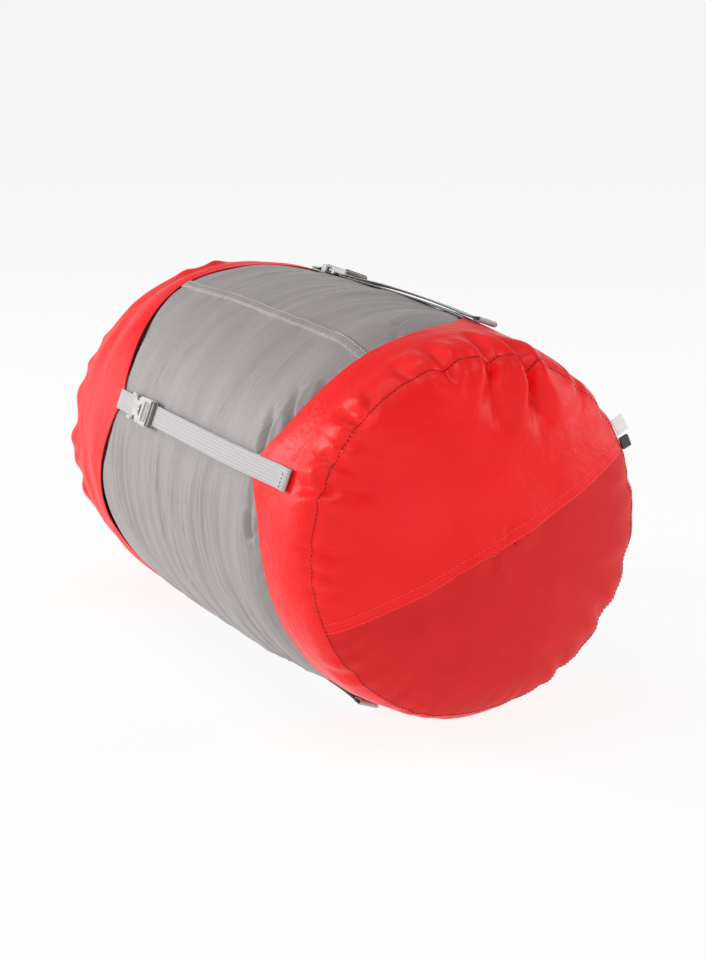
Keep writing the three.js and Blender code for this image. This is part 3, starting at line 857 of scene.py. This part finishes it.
def above_overlap(points):
    """Distance in mm from the overlap line, positive on the upper panel's side."""
    a = math.radians(OVERLAP_ANGLE)
    return -points[:, 1] * math.sin(a) + (points[:, 2] - AXIS_HEIGHT) * math.cos(a)


def finish_cloth(obj, thickness, body, slot, *nodes):
    modify(obj, "SUBSURF", levels=1, render_levels=1)
    thicken(obj, thickness)
    belongs(obj, body, slot, *nodes)


def make_base_cap():
    cap = Cap(BASE_HEM, BASE_SEAM_X, BASE_DOME, BASE_END_POWER, columns=300, band_rows=30, disc_rows=48,
              creases=BASE_CREASES, dips=BASE_SEAM_DIPS, pillow=2.2, seed=30)
    cap.simulate(frames=10, pressure=220.0, fullness=0.01, limit=5.0)
    cap.even_out()
    press_under_tails(cap.points)
    cap.points[:, 2] = np.maximum(cap.points[:, 2], FLOOR_CLEAR)
    return cap


def make_lid():
    cap = Cap(LID_HEM, LID_SEAM_X, -LID_DOME, LID_END_POWER, columns=300, band_rows=44, disc_rows=44,
              creases=LID_CREASES, dips=LID_SEAM_DIPS, pillow=1.0, seed=50)
    cap.simulate(frames=8, pressure=160.0, fullness=0.006, limit=3.5)
    cap.even_out()
    cap.points[:, 2] = np.maximum(cap.points[:, 2], FLOOR_CLEAR)
    return cap


base_cap = make_base_cap()
lid_cap = make_lid()

side = above_overlap(base_cap.smooth_points)
on_band, on_disc = base_cap.share <= 0.001, base_cap.share >= -0.001
RAISED = 0.9  # the upper panel lies on the lower one

base_band = split_piece("base_band_cloth", base_cap.points, base_cap.faces, on_band, RED)
finish_cloth(base_band, 0.7, "sack", "red_coated_nylon", "base_band")
lower_side, upper_side = on_disc & (side < 9), on_disc & (side > -0.05)
base_lower = split_piece("base_lower_cloth", base_cap.points, base_cap.faces, lower_side, RED_MATTE)
finish_cloth(base_lower, 0.5, "sack", "red_plain_nylon", "base_lower_panel")
lift = vertex_normals(base_cap.points, base_cap.faces) * RAISED
lift *= smooth(base_cap.s / 6)[:, None]
base_upper = split_piece("base_upper_cloth", base_cap.points + lift, base_cap.faces, upper_side, RED)
finish_cloth(base_upper, 0.7, "sack", "red_coated_nylon", "base_upper_panel")

lid_band = split_piece("lid_band_cloth", lid_cap.points, lid_cap.faces, lid_cap.share <= 0.001, RED)
finish_cloth(lid_band, 0.7, "lid", "red_coated_nylon", "lid_band")
lid_disc = split_piece("lid_disc_cloth", lid_cap.points, lid_cap.faces, lid_cap.share >= -0.001, RED)
finish_cloth(lid_disc, 0.7, "lid", "red_coated_nylon", "lid_end_disc")

# ---------- webbing ----------

RIBS = 7
STRIP_COLUMNS = 4 * RIBS + 1
STRIP_STEP = 1.0


def in_strap(x, across, height, angle):
    """World points in mm from a strap's own directions. height is the distance from the axis."""
    a = math.radians(angle)
    x, across, height = np.broadcast_arrays(x, across, height)
    y = height * math.cos(a) + across * math.sin(a)
    z = height * math.sin(a) - across * math.cos(a)
    return np.stack([x, y, z + AXIS_HEIGHT], -1)


def resample(path, step):
    """A smooth curve through the path's points, with a point every step mm."""
    path = np.array(path, float)
    keys = np.concatenate([[0], np.cumsum(np.linalg.norm(np.diff(path, axis=0), axis=1))])
    count = max(4, int(keys[-1] / step))
    wanted = np.linspace(0, keys[-1], count)
    slopes = np.gradient(path, keys, axis=0)
    k = np.clip(np.searchsorted(keys, wanted, side="right") - 1, 0, len(keys) - 2)
    h = (keys[k + 1] - keys[k])[:, None]
    t = (wanted - keys[k])[:, None] / h
    return ((1 + 2 * t) * (1 - t) ** 2 * path[k] + t * (1 - t) ** 2 * h * slopes[k]
            + t**2 * (3 - 2 * t) * path[k + 1] + t**2 * (t - 1) * h * slopes[k + 1])


def webbing_strip(name, path, angle, body, *nodes, face_out=True, wander=0.0):
    """Ribbed webbing along a path of (x, height) points: pale on its face, with painted shade (near-black
    webbing) on its back and edges.
    """
    line = resample(path, STRIP_STEP)
    ahead = np.gradient(line, axis=0)
    ahead /= np.linalg.norm(ahead, axis=1, keepdims=True)
    out = np.stack([-ahead[:, 1], ahead[:, 0]], 1)
    t = np.linspace(-1, 1, STRIP_COLUMNS)
    rib = 0.30 * np.abs(np.cos(t * RIBS * math.pi / 2)) ** 0.6 + 0.05 * (np.abs(t) > 0.93)
    edge = 0.55 + 0.45 * np.sqrt(np.clip(1 - ((np.abs(t) - 0.9).clip(0) / 0.1) ** 2, 0, 1))
    top = (WEBBING / 2 - 0.24 + rib) * edge
    cross = np.concatenate([t, t[::-1]]) * STRAP_HALF
    rise = np.concatenate([top, -top])
    along = np.arange(len(line))
    weave = 0.035 * np.where((along[:, None] + np.arange(len(cross))[None, :]) % 2, 1, -1)
    rise = rise[None, :] + weave * np.sign(rise)[None, :]
    side = wander * np.sin(along * STRIP_STEP / 31.0)
    x = line[:, 0:1] + out[:, 0:1] * rise
    height = line[:, 1:2] + out[:, 1:2] * rise
    points = in_strap(x, cross[None, :] + side[:, None], height, angle).reshape(-1, 3)
    ring = len(cross)
    faces = [tuple(reversed(f)) for f in grid_faces(len(line), ring, True)]
    last = (len(line) - 1) * ring
    for k in range(STRIP_COLUMNS - 1):
        quad = (k, k + 1, ring - 2 - k, ring - 1 - k)
        faces.append(quad)
        faces.append(tuple(last + v for v in reversed(quad)))
    obj = mesh_object(name, points, faces, WEBBING_LOOK)
    # The back and both edges take the near-black webbing: painted shade
    obj.data.materials.append(WEBBING_PAINTED_SHADE)
    back = {0, *range(STRIP_COLUMNS - 1, ring)} if face_out else {*range(STRIP_COLUMNS + 1)}
    painted_shade_faces = [all(v % ring in back for v in f) for f in faces]
    obj.data.polygons.foreach_set("material_index", np.array(painted_shade_faces, np.int32))
    belongs(obj, body, "webbing", *nodes)


SOCKET_BAR_X, SOCKET_BAR_HIGH, SOCKET_BAR_R = -63.5, 3.4, 1.2
PLUG_BAR_X, PLUG_BAR_HIGH, PLUG_BAR_R = -38.6, 3.1, 1.3
BUCKLE_X = -45.0  # the buckle's middle, where its height above the skin is taken
TAIL_FOLD = 10.0


def arc_points(x, height, radius, start, end, steps=9):
    turns = np.radians(np.linspace(start, end, steps))
    return [(x + radius * math.cos(a), height + radius * math.sin(a)) for a in turns]


def skin_under(x, angle):
    return float(skin_radius(np.array([x]), np.array([angle]))[0])


def clear_height(x, angle):
    """The least height that clears the skin here and over the buckle's unclipping travel."""
    return max(skin_under(min(BASE_SEAM_X, x + s), angle) for s in np.linspace(0, 22, 5))


def make_webbing(place_name, strap):
    """The load run on the sack, the loose tail on the plug, and the lid's short webbing."""
    angle, shift = strap["angle"], strap["shift"]
    floor = skin_under(BUCKLE_X + shift, angle)
    start = float(hem_x(BASE_HEM, angle))
    stations = [x for x in (-10, 20, 60, 95, 112, 125) if x < start - 4]
    lower = [(PLUG_BAR_X + shift, floor + LOWER_RUN)]
    lower += [(x, skin_under(x, angle) + LOWER_RUN) for x in (*stations, start + 6)]
    webbing_strip("load_webbing_" + place_name, lower, angle, "sack", "load_strap_" + place_name)

    bend = PLUG_BAR_R + 0.35 + WEBBING / 2
    wrap = arc_points(PLUG_BAR_X + shift, floor + PLUG_BAR_HIGH, bend, 205, -20, 12)
    fold_start = strap["tail_end"] - TAIL_FOLD
    lying = [(-30 + shift, floor + UPPER_RUN + 0.1), (-22 + shift, floor + UPPER_RUN)]
    lying += [(x, clear_height(x, angle) + UPPER_RUN + TAIL_RISE)
              for x in (-10, 20, 60, 95, 112, 130, 150) if x < fold_start - 6]
    base = clear_height(fold_start, angle) + UPPER_RUN + TAIL_RISE
    end = clear_height(strap["tail_end"], angle) + UPPER_RUN + TAIL_RISE
    tip = strap["tail_end"] - 0.8
    lifted = end + 2.3
    under_fold = [(tip, lifted + 0.2), (tip + 0.75, lifted - 0.5), (tip, lifted - 1.25)]
    back = [(tip - TAIL_FOLD * 0.8, (base + end) / 2 + 0.3)]
    path = [*wrap, *lying, (fold_start, base + 1.1), (fold_start + 5, base + 1.6), *under_fold, *back]
    webbing_strip("tail_webbing_" + place_name, path, angle, "plug_" + place_name,
                  "strap_tail_" + place_name, wander=0.25)
    stitch_x = strap["tail_end"] - 4.6
    top = float(np.interp(stitch_x, [fold_start + 5, tip], [base + 1.6, lifted + 0.2])) + WEBBING / 2 + 0.1
    row = in_strap(stitch_x, np.linspace(-6.2, 6.2, 40), top, angle)
    outward = in_strap(0, 0, 1.0, angle) - in_strap(0, 0, 0.0, angle)
    stitches("tail_stitches_" + place_name, row, np.tile(outward, (40, 1)), 1.7, 1.0, 0.32,
             DARK_THREAD, "plug_" + place_name, "webbing")

    hem = float(hem_x(LID_HEM, angle))
    loop = SOCKET_BAR_R + 0.4 + WEBBING / 2
    path = [(hem - 5, floor + LOWER_RUN - 0.4), (hem + 2, floor + LOWER_RUN)]
    path += arc_points(SOCKET_BAR_X + shift, floor + SOCKET_BAR_HIGH, loop, -90, 90)
    path += [(-71 + shift, floor + UPPER_RUN + 1.2), (-76 + shift, floor + UPPER_RUN + 0.2)]
    path += [(max(hem + 1, -90 + shift), floor + UPPER_RUN)]
    path += [(hem - 5, floor + UPPER_RUN - 0.3)]
    webbing_strip("lid_strap_" + place_name, path, angle, "lid", "lid_webbing_" + place_name, face_out=False)


# ---------- thread ----------


# A stitch's sections: the share of its length, its size and its lift, both in radii
STITCH_SECTIONS = ((0.0, 0.15, -0.5), (0.15, 0.8, 0.1), (0.5, 1.0, 0.35), (0.85, 0.8, 0.1),
                   (1.0, 0.15, -0.5))


def stitches(name, row, normals, length, gap, radius, material, body, slot):
    """Short raised stitches along a row of points on a cloth."""
    row, normals = np.asarray(row, float), np.asarray(normals, float)
    keys = np.concatenate([[0], np.cumsum(np.linalg.norm(np.diff(row, axis=0), axis=1))])

    def at(values, key):
        return np.array([np.interp(key, keys, values[:, k]) for k in range(3)])

    points, faces, sides = [], [], 6
    for start in np.arange(0, keys[-1] - length, length + gap):
        first = len(points)
        ahead = at(row, start + length) - at(row, start)
        ahead /= np.linalg.norm(ahead)
        for share, size, lift in STITCH_SECTIONS:
            middle = at(row, start + share * length)
            up = at(normals, start + share * length)
            up /= np.linalg.norm(up)
            side = np.cross(ahead, up)
            for k in range(sides):
                a = TAU * k / sides
                around = side * math.cos(a) + up * math.sin(a)
                points.append(middle + up * radius * lift + around * radius * size)
        for i in range(len(STITCH_SECTIONS) - 1):
            for k in range(sides):
                n = (k + 1) % sides
                corner = first + i * sides
                faces.append((corner + k, corner + n, corner + sides + n, corner + sides + k))
        faces.append(tuple(first + k for k in reversed(range(sides))))
        last = first + (len(STITCH_SECTIONS) - 1) * sides
        faces.append(tuple(last + k for k in range(sides)))
    belongs(mesh_object(name, points, faces, material), body, slot)


def seam_row(cap):
    ring = np.where(np.abs(cap.share) < 0.001)[0]
    ring = np.append(ring, ring[0])
    normals = vertex_normals(cap.points, cap.faces)
    out = normals[ring]
    return cap.points[ring] + out * 0.15, out


def on_surface(tree, points, above):
    found = [tree.find_nearest(Vector(p)) for p in points]
    out = np.array([f[1] for f in found])
    return np.array([f[0] for f in found]) + out * above, out


def overlap_stitches():
    """Two rows beside the edge of the upper panel."""
    upper_tree = surface_tree(base_cap.points + lift, base_cap.faces)
    a = math.radians(OVERLAP_ANGLE)
    reach = np.linspace(-0.985, 0.985, 160) * base_cap.rim
    for count, inside in enumerate((7.5, 1.5)):
        y = reach * math.cos(a) - inside * math.sin(a)
        z = reach * math.sin(a) + inside * math.cos(a) + AXIS_HEIGHT
        from_axis = (np.hypot(y, z - AXIS_HEIGHT) / base_cap.rim).clip(0, 1)
        x = BASE_SEAM_X + BASE_DOME * (1 - from_axis**BASE_END_POWER)
        row, out = on_surface(upper_tree, np.stack([x, y, z], 1), 0.45)
        stitches(f"overlap_stitches_{count}", row, out, 2.4, 0.9, 0.2, RED_THREAD_LIGHT,
                 "sack", "red_coated_nylon")


def felled_stitches():
    """Two rows in the seats of the felled seam."""
    for count, column in enumerate((3, 8)):
        row = felled[:, column]
        middle = np.array([0, 0, AXIS_HEIGHT]) + row * [1, 0, 0]
        out = (row - middle) / np.linalg.norm(row - middle, axis=1, keepdims=True)
        stitches(f"felled_stitches_{count}", row + out * 0.35, out, 2.6, 0.7, 0.36, GREY_THREAD,
                 "sack", "grey_ripstop")


for cap_name, cap, body in (("base", base_cap, "sack"), ("lid", lid_cap, "lid")):
    stitches(cap_name + "_seam_stitches", *seam_row(cap), 2.3, 0.7, 0.24, RED_THREAD,
             body, "red_coated_nylon")
overlap_stitches()
felled_stitches()

# ---------- buckles ----------


def moulded(name, outlines, low, high, bevel, angle, shift, floor):
    """A moulded plate's mesh: outlines in (x, across), the second and later ones holes."""
    curve = bpy.data.curves.new(name, "CURVE")
    curve.dimensions = "2D"
    curve.fill_mode = "BOTH"
    curve.extrude = ((high - low) / 2 - bevel) * MM
    curve.bevel_depth = bevel * MM
    curve.bevel_resolution = 2
    for outline in outlines:
        spline = curve.splines.new("POLY")
        spline.points.add(len(outline) - 1)
        for point, (x, across) in zip(spline.points, outline):
            point.co = (x * MM, across * MM, 0, 1)
        spline.use_cyclic_u = True
    flat = link_object(name, curve)
    bpy.context.view_layer.update()
    evaluated = flat.evaluated_get(bpy.context.evaluated_depsgraph_get())
    mesh = bpy.data.meshes.new_from_object(evaluated)
    local = positions(mesh)
    bpy.data.objects.remove(flat)
    mesh.vertices.foreach_set("co", (stand(local, (low + high) / 2, angle, shift, floor) * MM).ravel())
    return mesh


def stand(local, middle, angle, shift, floor):
    """Points of a flat plate moved to their place on the strap."""
    return in_strap(local[:, 0] + shift, local[:, 1], local[:, 2] + middle + floor, angle)


def rounded(points, radius, steps=4):
    """A closed outline with its corners rounded."""
    points = [np.array(p, float) for p in points]
    result = []
    for before, corner, after in zip(points[-1:] + points[:-1], points, points[1:] + points[:1]):
        into, away = before - corner, after - corner
        cut = min(radius, 0.45 * np.linalg.norm(into), 0.45 * np.linalg.norm(away))
        start = corner + into / np.linalg.norm(into) * cut
        end = corner + away / np.linalg.norm(away) * cut
        for t in np.linspace(0, 1, steps):
            result.append(tuple((1 - t) ** 2 * start + 2 * t * (1 - t) * corner + t**2 * end))
    return result


def mirrored(half_outline):
    """A closed outline from its half on one side of the strap's middle."""
    return [*half_outline, *[(x, -across) for x, across in reversed(half_outline)]]


def profile_bar(profile, half, angle, shift, floor, bevel=0.3):
    """A bar across the strap: a rounded profile in (x, height) carried from side to side."""
    profile = rounded(profile, bevel, 3)
    sections = ((-half, 0.86), (-half + 0.35, 1.0), (half - 0.35, 1.0), (half, 0.86))
    centre = np.mean(profile, axis=0)
    points, faces, n = [], [], len(profile)
    for across, size in sections:
        for p in profile:
            q = centre + (np.array(p) - centre) * size
            points.append(in_strap(q[0] + shift, across, q[1] + floor, angle))
    for i in range(len(sections) - 1):
        for k in range(n):
            m = (k + 1) % n
            faces.append((i * n + k, i * n + m, (i + 1) * n + m, (i + 1) * n + k))
    faces.append(tuple(reversed(range(n))))
    faces.append(tuple(range((len(sections) - 1) * n, len(sections) * n)))
    mesh = bpy.data.meshes.new("bar")
    mesh.from_pydata([tuple(np.ravel(p) * MM) for p in points], [], faces)
    return mesh


def joined(name, meshes, body, node, painted_shade_parts=()):
    """Meshes put together as one plastic piece. Those numbered in the last argument have the darker plastic:
    painted shade.
    """
    whole = bmesh.new()
    for count, mesh in enumerate(meshes):
        first = len(whole.faces)
        whole.from_mesh(mesh)
        whole.faces.ensure_lookup_table()
        for face in whole.faces[first:]:
            face.material_index = int(count in painted_shade_parts)
        bpy.data.meshes.remove(mesh)
    bmesh.ops.remove_doubles(whole, verts=whole.verts, dist=1e-6)
    bmesh.ops.recalc_face_normals(whole, faces=whole.faces)
    mesh = bpy.data.meshes.new(name)
    whole.to_mesh(mesh)
    whole.free()
    mesh.materials.append(PLASTIC)
    mesh.materials.append(GRIP_PAINTED_SHADE)
    mesh.shade_smooth()
    obj = link_object(name, mesh)
    corners = modify(obj, "EDGE_SPLIT", split_angle=math.radians(38))
    corners.use_edge_sharp = False
    belongs(obj, body, "buckle_plastic", node)


def circle(x, height, radius, sides=14):
    return [(x + radius * math.cos(TAU * k / sides), height + radius * math.sin(TAU * k / sides))
            for k in range(sides)]


# Outlines in (x, across): half of the socket's edge, half of the arch at its mouth, one latch arm
SOCKET_EDGE = [(-60.4, 9.2), (-59.0, 8.6), (-57.6, 6.6), (-55.6, 5.2), (-53.4, 5.0), (-51.4, 5.9),
               (-50.0, 7.8), (-48.8, 9.1), (-45.0, 9.4)]
ARCH = [(-45.0, 4.6), (-46.4, 4.4), (-48.0, 3.5), (-49.2, 1.8), (-49.5, 0.4)]
LATCH_OUTLINE = [(-44.9, 6.8), (-44.9, 4.6), (-50.0, 4.4), (-55.0, 4.5), (-56.8, 5.0), (-57.4, 6.1),
                 (-57.0, 7.2), (-56.0, 7.7), (-55.2, 7.2), (-54.8, 6.8), (-53.6, 7.3), (-52.0, 8.2),
                 (-50.5, 8.6), (-49.4, 8.3), (-49.3, 6.8)]


def make_buckle(place_name, strap):
    """The socket on the lid, the plug on the strap, and the plug's two latch arms."""
    angle, shift = strap["angle"], strap["shift"]
    floor = skin_under(BUCKLE_X + shift, angle)
    where = (angle, shift, floor)

    def plate(outlines, low, high, bevel=0.4, round_by=0.7):
        shapes = [rounded(outline, round_by) for outline in outlines]
        return moulded("plate", shapes, low, high, bevel, *where)

    rails = [[(-66.2, t), (-59.8, t), (-59.8, t + 1.9), (-66.2, t + 1.9)] for t in (7.6, -9.5)]
    collars = [[(-49.4, t), (-45, t), (-45, t + 2.1), (-49.4, t + 2.1)] for t in (7.3, -9.4)]
    socket = [
        plate([mirrored(SOCKET_EDGE + ARCH)], 5.2, 6.9, 0.5),
        plate([mirrored(SOCKET_EDGE)], 1.0, 2.5, 0.4),
        *[plate([r], 1.2, 6.6) for r in rails],
        *[plate([c], 1.2, 6.6) for c in collars],
        profile_bar(circle(SOCKET_BAR_X, SOCKET_BAR_HIGH, SOCKET_BAR_R), 8.6, *where),
        profile_bar([(-61.4, 5.6), (-60.9, 7.2), (-59.8, 7.6), (-58.6, 7.0), (-58.0, 5.8)], 9.5, *where),
        plate([[(-56, -1.1), (-46.5, -0.8), (-46.5, 0.8), (-56, 1.1)]], 6.5, 7.3, 0.3),
    ]
    # The socket's lower plate takes the near-black plastic: painted shade
    joined("socket_" + place_name, socket, "lid", "buckle_socket_" + place_name, [1])

    frame_edge = [(-44.6, 9.4), (-26.4, 9.4), (-26.4, -9.4), (-44.6, -9.4)]
    opening = [(-42.4, -7.5), (-31.4, -7.5), (-31.4, 7.5), (-42.4, 7.5)]
    exit_slot = [(-29.9, -7.5), (-27.6, -7.5), (-27.6, 7.5), (-29.9, 7.5)]
    grip = [(-29.9, 4.4), (-29.6, 6.9), (-28.8, 7.5), (-27.6, 7.3), (-25.4, 6.0), (-24.6, 4.8), (-25.2, 3.8)]
    plug = [
        plate([frame_edge, opening, exit_slot], 2.6, 6.7, 0.7, 2.2),
        profile_bar(circle(PLUG_BAR_X, PLUG_BAR_HIGH, PLUG_BAR_R), 8.0, *where),
        profile_bar(grip, 9.3, *where, bevel=0.6),
        plate([[(-57, -2.1), (-44.2, -2.2), (-44.2, 2.2), (-57, 2.1)]], 3.0, 4.8, 0.3),
        *[profile_bar(circle(x, h, 0.34, 8), 8.4, *where)
          for x, h in ((-27.6, 7.2), (-26.6, 6.6), (-25.6, 6.0))],
    ]
    # The grip, the tongue and the three grip ridges take the near-black plastic: painted shade
    joined("plug_body_" + place_name, plug, "plug_" + place_name, "buckle_plug_" + place_name, range(2, 7))
    for side_name, sign in (("a", 1), ("b", -1)):
        outline = [(x, sign * t) for x, t in LATCH_OUTLINE]
        name = f"{place_name}_{side_name}"
        arm = moulded("arm", [rounded(outline, 0.5)], 2.9, 4.9, 0.35, *where)
        joined("prong_" + name, [arm], "arm_" + name, "latch_arm_" + name)


for place_name, strap in STRAPS.items():
    make_webbing(place_name, strap)
    make_buckle(place_name, strap)

# ---------- the rolled quilt inside ----------

QUILT = {"turns": 3, "core": 12.0, "clear": 9.5, "ends": (-200.0, 190.0), "squash": 0.94, "edge": 22}
QUILT_OUTER = WIDEST_RADIUS - QUILT["clear"]
QUILT_PITCH = (QUILT_OUTER - QUILT["core"]) / (QUILT["turns"] + 1)
QUILT_MIDDLE = QUILT_OUTER - QUILT_PITCH / 2  # the middle of the quilt's thickness at its outer end


def in_roll(x, turned, radius):
    """Points on the roll: turned degrees from the quilt's outer end, at a radius before the pitch."""
    radius = radius - QUILT_PITCH * turned / 360
    radius = radius * (radius_at(x) - QUILT["clear"] - 8 * smooth((x - 70) / 50)) / QUILT_OUTER
    radius = radius * np.where(np.sin(np.radians(turned)) < 0, QUILT["squash"], 1)
    return place(x, turned, radius)


def quilt_side(sign, full):
    """One side of the padded quilt, rolled up: a pillow whose two sides meet at its edges."""
    w = np.sin(np.linspace(-90, 90, 260) * math.pi / 180)
    w = 0.35 * w + 0.65 * np.linspace(-1, 1, 260)
    u = np.sin(np.linspace(-90, 90, 46) * math.pi / 180)
    w, u = np.meshgrid(w, u, indexing="ij")
    turned = (w + 1) / 2 * 360 * QUILT["turns"]
    low, high = QUILT["ends"]
    x = (low + high) / 2 + u * (high - low) / 2 * (0.985 + 0.015 * full)
    puff = np.sqrt(np.clip(1 - np.abs(u) ** QUILT["edge"], 0, 1) * np.clip(1 - np.abs(w) ** 60, 0, 1))
    puff *= 1 - 0.12 * (0.5 + 0.5 * waves(70, 14, (20, 60), 9)(x, turned)).clip(0, 1)
    return in_roll(x, turned, QUILT_MIDDLE + sign * full * puff * (QUILT_PITCH / 2 - 0.9))


def quilt_sheet(name, sides, material, slot, node, thickness):
    grids = [quilt_side(sign, full) for sign, full in sides]
    rows, columns = grids[0].shape[:2]
    faces = []
    for count, (sign, full) in enumerate(sides):
        first = count * rows * columns
        quads = [tuple(first + v for v in f) for f in grid_faces(rows, columns, False)]
        faces += quads if sign < 0 else [tuple(reversed(f)) for f in quads]
    obj = mesh_object(name, np.concatenate([g.reshape(-1, 3) for g in grids]), faces, material)
    if thickness:
        thicken(obj, thickness)
    else:
        modify(obj, "WELD", merge_threshold=0.00002)
    belongs(obj, "sack", slot, node)


def zip_teeth():
    """The coil zip along the quilt's edge at the mouth."""
    points, faces, turned = [], [], 6.0
    corners = [(dx, dr, da) for dx in (-1.6, 0.4) for dr in (-1.7, 1.7) for da in (-0.9, 0.9)]
    box = [(0, 1, 3, 2), (4, 6, 7, 5), (0, 4, 5, 1), (2, 3, 7, 6), (0, 2, 6, 4), (1, 5, 7, 3)]
    while turned < 360 * QUILT["turns"] - 8:
        first = len(points)
        radius = QUILT_MIDDLE - QUILT_PITCH * turned / 360
        for dx, dr, da in corners:
            x = QUILT["ends"][0] - 0.6 + dx
            points.append(in_roll(x, turned + math.degrees(da / radius), QUILT_MIDDLE + dr))
        faces += [tuple(first + v for v in f) for f in box]
        turned += math.degrees(2.7 / radius)
    obj = mesh_object("zip_coil", points, faces, ZIP_LOOK, shade=False)
    belongs(obj, "sack", "zip", "zip_chain")


def zip_slider():
    """The slider and its pull tab at the quilt's outer end."""
    whole = bmesh.new()
    for size, turned, out in (((3.6, 9.0, 7.0), 3.5, 2.6), ((1.4, 4.6, 15.0), 9.5, 4.4)):
        at = in_roll(QUILT["ends"][0] - out, turned, QUILT_MIDDLE) * MM
        made = bmesh.ops.create_cube(whole, size=1.0)["verts"]
        bmesh.ops.scale(whole, verts=made, vec=[s * MM for s in size])
        bmesh.ops.translate(whole, verts=made, vec=tuple(at))
    mesh = bpy.data.meshes.new("zip_pull")
    whole.to_mesh(mesh)
    whole.free()
    obj = link_object("zip_pull", mesh)
    mesh.materials.append(ZIP_LOOK)
    modify(obj, "BEVEL", width=0.0006, segments=2)
    belongs(obj, "sack", "zip", "zip_slider")


QUILT_SHELL = quilt_cloth("quilt_cloth", (0.22, 0.22, 0.24), (0.32, 0.32, 0.34))
QUILT_LINING = quilt_cloth("quilt_lining", (0.36, 0.03, 0.03), (0.5, 0.06, 0.05))
QUILT_FILL = quilt_cloth("quilt_fill", (0.8, 0.8, 0.77), (0.9, 0.9, 0.87))
ZIP_LOOK = thread_material("zip", (0.04, 0.04, 0.045))
quilt_sheet("quilt_outer_cloth", [(1, 1.0)], QUILT_SHELL, "quilt_cloth", "quilt_shell", 0.6)
quilt_sheet("quilt_inner_cloth", [(-1, 1.0)], QUILT_LINING, "quilt_lining", "quilt_lining", 0.6)
quilt_sheet("quilt_wadding", [(1, 0.86), (-1, 0.86)], QUILT_FILL, "quilt_fill", "quilt_fill", 0)
zip_teeth()
zip_slider()

# ---------- CAD pieces that keep their shape ----------

# The seam tab takes the near-black webbing, painted shade; the label takes its white tape
for node, material in (("seam_tab", WEBBING_PAINTED_SHADE), ("blank_label", LABEL)):
    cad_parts[node].data.materials.clear()
    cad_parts[node].data.materials.append(material)

# ---------- floor, light and camera ----------


def studio():
    """A pale floor, a world that is bright near the horizon, and five soft lights."""
    bpy.ops.mesh.primitive_plane_add(size=200, location=(0, 0, -0.0008))
    floor = bpy.context.object
    floor.name = "floor"
    pale = Nodes("pale_floor", (0.12, 0.12, 0.12), 0.9, Emission_Strength=0.88, Specular_IOR_Level=0.0)
    pale.set("Emission Color", (1, 1, 1, 1))
    floor.data.materials.append(pale.material)
    world = bpy.data.worlds.new("studio")
    bpy.context.scene.world = world
    world.use_nodes = True
    background = next(n for n in world.node_tree.nodes if n.type == "BACKGROUND")
    tree = world.node_tree
    direction = tree.nodes.new("ShaderNodeTexCoord").outputs["Generated"]
    split = tree.nodes.new("ShaderNodeSeparateXYZ")
    tree.links.new(direction, split.inputs[0])
    dim = tree.nodes.new("ShaderNodeMapRange")
    tree.links.new(split.outputs[2], dim.inputs[0])
    for socket, value in ((1, 0.1), (2, 0.3), (3, 1.0), (4, 0.2)):
        dim.inputs[socket].default_value = value
    tree.links.new(dim.outputs[0], background.inputs["Strength"])
    background.inputs["Color"].default_value = (1, 1, 1, 1)
    for name, position, size, power in (
        ("left", (-1.6, -1.9, 1.0), 0.8, 36.0),
        ("front", (1.5, -2.2, 1.1), 0.8, 11.0),
        ("end", (2.7, -0.3, 1.0), 1.2, 6.0),
        ("above", (0.0, -0.7, 2.6), 1.4, 21.0),
        ("far side", (0.9, 2.4, 1.2), 1.4, 28.0),
    ):
        light = bpy.data.lights.new(name, "AREA")
        light.size = size
        light.energy = power
        obj = link_object(name, light)
        obj.location = position
        aim = Vector((0, 0, 0.12)) - Vector(position)
        obj.rotation_euler = aim.to_track_quat("-Z", "Y").to_euler()
        obj.visible_camera = False


def camera():
    """Looks at the base end and the front side from a little above."""
    azimuth, elevation, distance = math.radians(-26.5), math.radians(13.73), 1.4529
    centre = Vector((0.013, 0, AXIS_HEIGHT * MM))
    level = math.cos(elevation)
    back = Vector((level * math.cos(azimuth), level * math.sin(azimuth), math.sin(elevation)))
    data = bpy.data.cameras.new("camera")
    data.lens = 74.85
    data.clip_start = 0.01
    obj = link_object("camera", data)
    right = Vector((0, 0, 1)).cross(back).normalized()
    up = back.cross(right)
    aim = centre + right * 0.0069 - up * 0.0039
    obj.location = centre + back * distance
    obj.rotation_euler = (aim - obj.location).to_track_quat("-Z", "Y").to_euler()
    bpy.context.scene.camera = obj


studio()
camera()
bpy.context.scene.view_settings.view_transform = "Standard"

bpy.context.view_layer.update()
